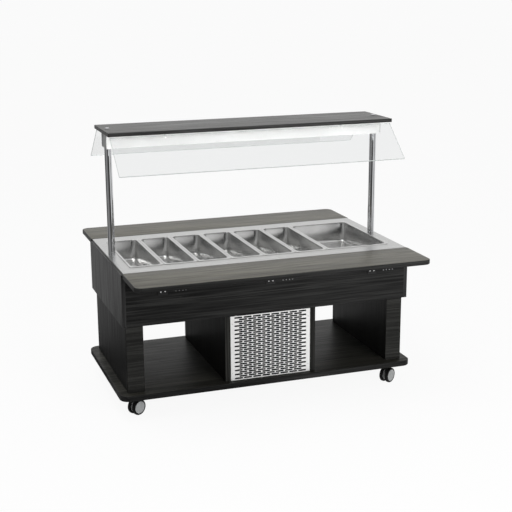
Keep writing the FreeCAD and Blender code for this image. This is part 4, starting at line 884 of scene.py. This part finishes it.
def wheel(corner, side):
    """Tyre and nylon discs of one wheel."""
    joint = joints[f"{corner}_{side}_roll"]
    hub = Vector(joint["pos_m"])
    axis = Vector(joint["axis"]).normalized()
    node = f"caster_{corner}_{side}_wheel"
    reach = [(v.co - hub).dot(axis) for v in frame["nodes"][node].data.vertices]
    if sum(reach) < 0:
        axis = -axis
        reach = [-r for r in reach]
    near, far = min(reach), max(reach)
    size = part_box(node)[1].z - hub.z
    bore = AXLE_RADIUS + BORE_PLAY
    inside = [(0, AXLE_HALF + BORE_PLAY), (bore, AXLE_HALF + BORE_PLAY), (bore, near + MOUTH_DEPTH * MM)]
    inside += [(share * size, near + depth * MM) for share, depth in INNER_DISC]
    bends = [math.pi / 2 * i / TREAD_STEPS for i in range(TREAD_STEPS + 1)]
    tread = [(size - TREAD_ROUND * (1 - math.sin(b)), near + TREAD_ROUND * (1 - math.cos(b))) for b in bends]
    tread += [(size - TREAD_ROUND * (1 - math.cos(b)), far - TREAD_ROUND * (1 - math.sin(b))) for b in bends]
    outside = [(share * size, far - depth * MM) for share, depth in OUTER_DISC]
    # Slot 2, the pale inner disc, carries painted light.
    slots = [2] * (len(inside) - 1) + [0] * (len(tread) + 1) + [1] * (len(outside) - 1)
    mesh = spun(inside + tread + outside, slots, standing_on(axis, hub))
    return piece(f"{node}_turned", mesh, [tyre_rubber, hub_plastic, inner_hub_painted_light], f"{corner}_{side}_wheel_body",
                 [node])


print("wheel profile:", len(INNER_DISC), "points inside and", len(OUTER_DISC), "outside")

# %% [markdown]
# ## Caster bodies
# Between the wheels a flat nylon neck carries the axle and hangs from a swivel head, whose steel stem goes up
# into the base board. Head and axle are spun like the wheels. The neck could be a plain plate, but a moulded
# one is round at the axle, wide under the head and eased at its edges.

# %% Caster bodies
SWIVEL_SEAT = 102.7 * MM  # just under the base board
STEM_RADIUS = 5.5 * MM
STEM_EASE = 1 * MM
AXLE_EASE = 0.8 * MM
BOSS_RADIUS = 13 * MM
BOSS_STEPS = 12
# In mm: the head's radius and drop below the seat, the neck's top as a reach past the swivel and a drop, its
# shoulder as a reach past the axle and a drop, its feet in front and behind as a reach past the axle and a
# rise above it, and its section as an offset along the axle and an inset.
HEAD_PROFILE = ((0, 11), (19, 11), (23, 9), (24, 6.5), (22.6, 6), (22.6, 5), (24, 4.5), (24, 1.2), (22.8, 0))
NECK_TOP = ((6, 14), (12, 8), (-14, 8))
NECK_SHOULDER = (-4, 18)
NECK_FEET = ((15, 22), (-13, 26))
NECK_SECTION = ((-6, 1.6), (-4.6, 0.3), (-4, 0), (4, 0), (4.6, 0.3), (6, 1.6))


def swivel_head(node, body, post, top):
    """Turned head under the base board, with its stem."""
    head = [(radius * MM, SWIVEL_SEAT - drop * MM) for radius, drop in HEAD_PROFILE]
    stem = [(STEM_RADIUS, SWIVEL_SEAT), (STEM_RADIUS, top - STEM_EASE), (STEM_RADIUS - STEM_EASE, top),
            (0, top)]
    mesh = spun(head + stem, [0] * len(head) + [1] * (len(stem) - 1), Matrix.Translation((post.x, post.y, 0)))
    piece(f"{node}_head", mesh, [fork_plastic, zinc], body, [node])


def neck(node, body, post, axle, axis):
    """Flat plate from the axle up to the swivel head."""
    forward = Vector((post.x - axle.x, post.y - axle.y, 0))
    trail = forward.length
    forward.normalize()
    turns = [math.pi * (1 + i / BOSS_STEPS) for i in range(BOSS_STEPS + 1)]
    side = [(BOSS_RADIUS * math.cos(turn), axle.z + BOSS_RADIUS * math.sin(turn)) for turn in turns]
    front, back = ((past * MM, axle.z + rise * MM) for past, rise in NECK_FEET)
    under = [(trail + past * MM, SWIVEL_SEAT - drop * MM) for past, drop in NECK_TOP]
    side += [front, *under, (NECK_SHOULDER[0] * MM, SWIVEL_SEAT - NECK_SHOULDER[1] * MM), back]
    middle = Vector((sum(x for x, z in side), sum(z for x, z in side))) / len(side)
    rings = []
    for offset, inset in NECK_SECTION:
        shrink = 1 - inset * MM / BOSS_RADIUS
        start = Vector((axle.x, axle.y, 0)) + axis * offset * MM
        rings.append([start + forward * (middle.x + (x - middle.x) * shrink)
                      + Vector((0, 0, middle.y + (z - middle.y) * shrink)) for x, z in side])
    piece(f"{node}_neck", loft(rings), [fork_plastic], body)


def fork(corner):
    """Head, neck and axle of one caster."""
    body = f"{corner}_caster"
    node = f"caster_{corner}_fork"
    post = Vector(joints[f"{corner}_swivel"]["pos_m"])
    roll = joints[f"{corner}_left_roll"]
    axle = Vector(roll["pos_m"])
    axis = Vector(roll["axis"]).normalized()
    swivel_head(node, body, post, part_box(node)[1].z)
    neck(node, body, post, axle, axis)
    tip = AXLE_RADIUS - AXLE_EASE
    rod = [(0, -AXLE_HALF), (tip, -AXLE_HALF), (AXLE_RADIUS, -AXLE_HALF + AXLE_EASE),
           (AXLE_RADIUS, AXLE_HALF - AXLE_EASE), (tip, AXLE_HALF), (0, AXLE_HALF)]
    mesh = spun(rod, [0] * (len(rod) - 1), standing_on(axis, axle))
    piece(f"{node}_axle", mesh, [zinc], body)


corners = [f"{end}_{side}" for end in ("front", "rear") for side in ("left", "right")]
for corner in corners:
    fork(corner)
    wheels = [wheel(corner, side) for side in ("left", "right")]
print("casters:", len(corners), "with", len(wheels[0].data.polygons), "faces on each wheel")

# %% [markdown]
# ## Light box ends
# The light box under the canopy is a folded white channel, closed at each end by a grey moulded cap. A flat
# plate would do, but a cap is a shallow tray: a loft with rounded corners and a slightly raised rim.

# %% Light box ends
CAP_STEPS = ((0, 0), (0, 1.4), (0.6, 2), (3.5, 2), (4.5, 1.2))  # inset and height in mm, from the channel out
CAP_CORNER = 5
CAP_LEAST_CORNER = 1


def end_cap(word, side):
    """Grey cap on one end of the light box. side is the way that it looks along X, -1 or 1."""
    low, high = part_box("light_housing")
    x = high.x if side > 0 else low.x
    rings = []
    for inset, height in CAP_STEPS:
        corner = max(CAP_CORNER - inset, CAP_LEAST_CORNER)
        flat = ring(low.yz, high.yz, inset * MM, [corner * MM] * 4, 0)
        rings.append([(x + side * height * MM, y, z) for y, z, _ in flat])
    return piece(f"light_box_cap_{word}", loft(rings), [cap_grey], "chassis")


caps = [end_cap("left", -1), end_cap("right", 1)]
print("caps:", [len(made.data.polygons) for made in caps], "faces")

# %% [markdown]
# ## Filter mat in painted shade
# A pleated mat of near-black foam sits behind the front grille. Its black is painted shade: the slots look
# black, as the shaded compartment behind them does, and the machine behind them stays hidden. It could be a
# flat sheet, but pleats catch a little light between the slots.

# %% Filter mat in painted shade
FILTER_THICKNESS = 4 * MM
FILTER_MARGIN = 20 * MM
FILTER_GAP = 3 * MM
PLEAT_DEPTH = 9 * MM
PLEAT_COUNT = 48


def filter_mat_painted_shade():
    """A pleated mat between the front grille and the condenser."""
    low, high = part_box("front_grille")
    start = low.x + FILTER_MARGIN
    width = high.x - FILTER_MARGIN - start
    near = high.y + FILTER_GAP
    front = [(start + width * i / PLEAT_COUNT, near + PLEAT_DEPTH * (i % 2)) for i in range(PLEAT_COUNT + 1)]
    section = front + [(x, y + FILTER_THICKNESS) for x, y in reversed(front)]
    mesh = bmesh.new()
    heights = (low.z + 2 * FILTER_GAP, high.z - 2 * FILTER_GAP)
    rows = [[mesh.verts.new((x, y, z)) for x, y in section] for z in heights]
    skin(mesh, rows, [0])
    count = len(section)
    for row in rows:
        for i in range(PLEAT_COUNT):
            mesh.faces.new((row[i], row[i + 1], row[count - 2 - i], row[count - 1 - i]))
    # The mat's near-black foam is painted shade.
    return piece("filter_mat_painted_shade", mesh, [filter_foam_painted_shade], "chassis")


mat = filter_mat_painted_shade()
print("filter:", len(mat.data.polygons), "faces")

# %% [markdown]
# ## Small screws
# To the right of each bracket a row of four smaller screws catches a little light under the shelf. They could
# be modelled again, but the node tree above already makes such heads, and its inputs only get other sizes.

# %% Small screws
SMALL_SIZES = {"Radius": 3.0 * MM, "Height": 1.8 * MM, "Recess": 0.8 * MM}
SMALL_COUNT = 4
SMALL_START = 40 * MM
SMALL_PITCH = 16 * MM
SMALL_RISE = 13 * MM
spots = []
for low, high in islands("bracket_plates"):
    wall, way = seat_of(low, high)
    for i in range(SMALL_COUNT):
        spots.append(((high.x + SMALL_START + SMALL_PITCH * i, wall, low.z + SMALL_RISE), way))
small_heads = grown_on(spots, screw_tree("small_cross_screws", zinc), SMALL_SIZES)
small = finished("small_screw_heads", small_heads, [], "chassis")
print("small screws:", len(spots), "with", len(small.data.polygons), "faces")

# %% [markdown]
# ## Thermostat
# At the rear the thermostat has a smoked window and three soft keys on its bezel. They could be drawn as a
# texture, but as thin raised pads with rounded corners they catch the light like moulded parts.

# %% Thermostat
PAD_STEPS = ((0, 0), (0, 0.5), (0.3, 0.8))  # inset and lift in mm, from the bezel out
PAD_CORNER = 1.5
WINDOW_PLACE = 12  # places along the bezel from its middle, and sizes along X and Z, all in mm
WINDOW_SIZE = (42, 22)
KEY_PLACES = (-16, -24, -32)
KEY_SIZE = (6, 9)


def pad(name, place, size, finish):
    """A thin rounded pad on the thermostat's bezel."""
    low, high = max(islands("control_housings"), key=lambda box: box[1].x - box[0].x)
    x = (low.x + high.x) / 2 + place * MM
    z = (low.z + high.z) / 2
    wide, tall = size[0] / 2 * MM, size[1] / 2 * MM
    rings = []
    for inset, lift in PAD_STEPS:
        corner = (PAD_CORNER - inset) * MM
        flat = ring((x - wide, z - tall), (x + wide, z + tall), inset * MM, [corner] * 4, 0)
        rings.append([(px, high.y + lift * MM, pz) for px, pz, _ in flat])
    return piece(name, loft(rings), [finish], "chassis")


pad("thermostat_window", WINDOW_PLACE, WINDOW_SIZE, window_plastic)
for number, place in enumerate(KEY_PLACES, start=1):
    pad(f"thermostat_key_{number}", place, KEY_SIZE, key_plastic)
print("thermostat: a window and", len(KEY_PLACES), "keys")
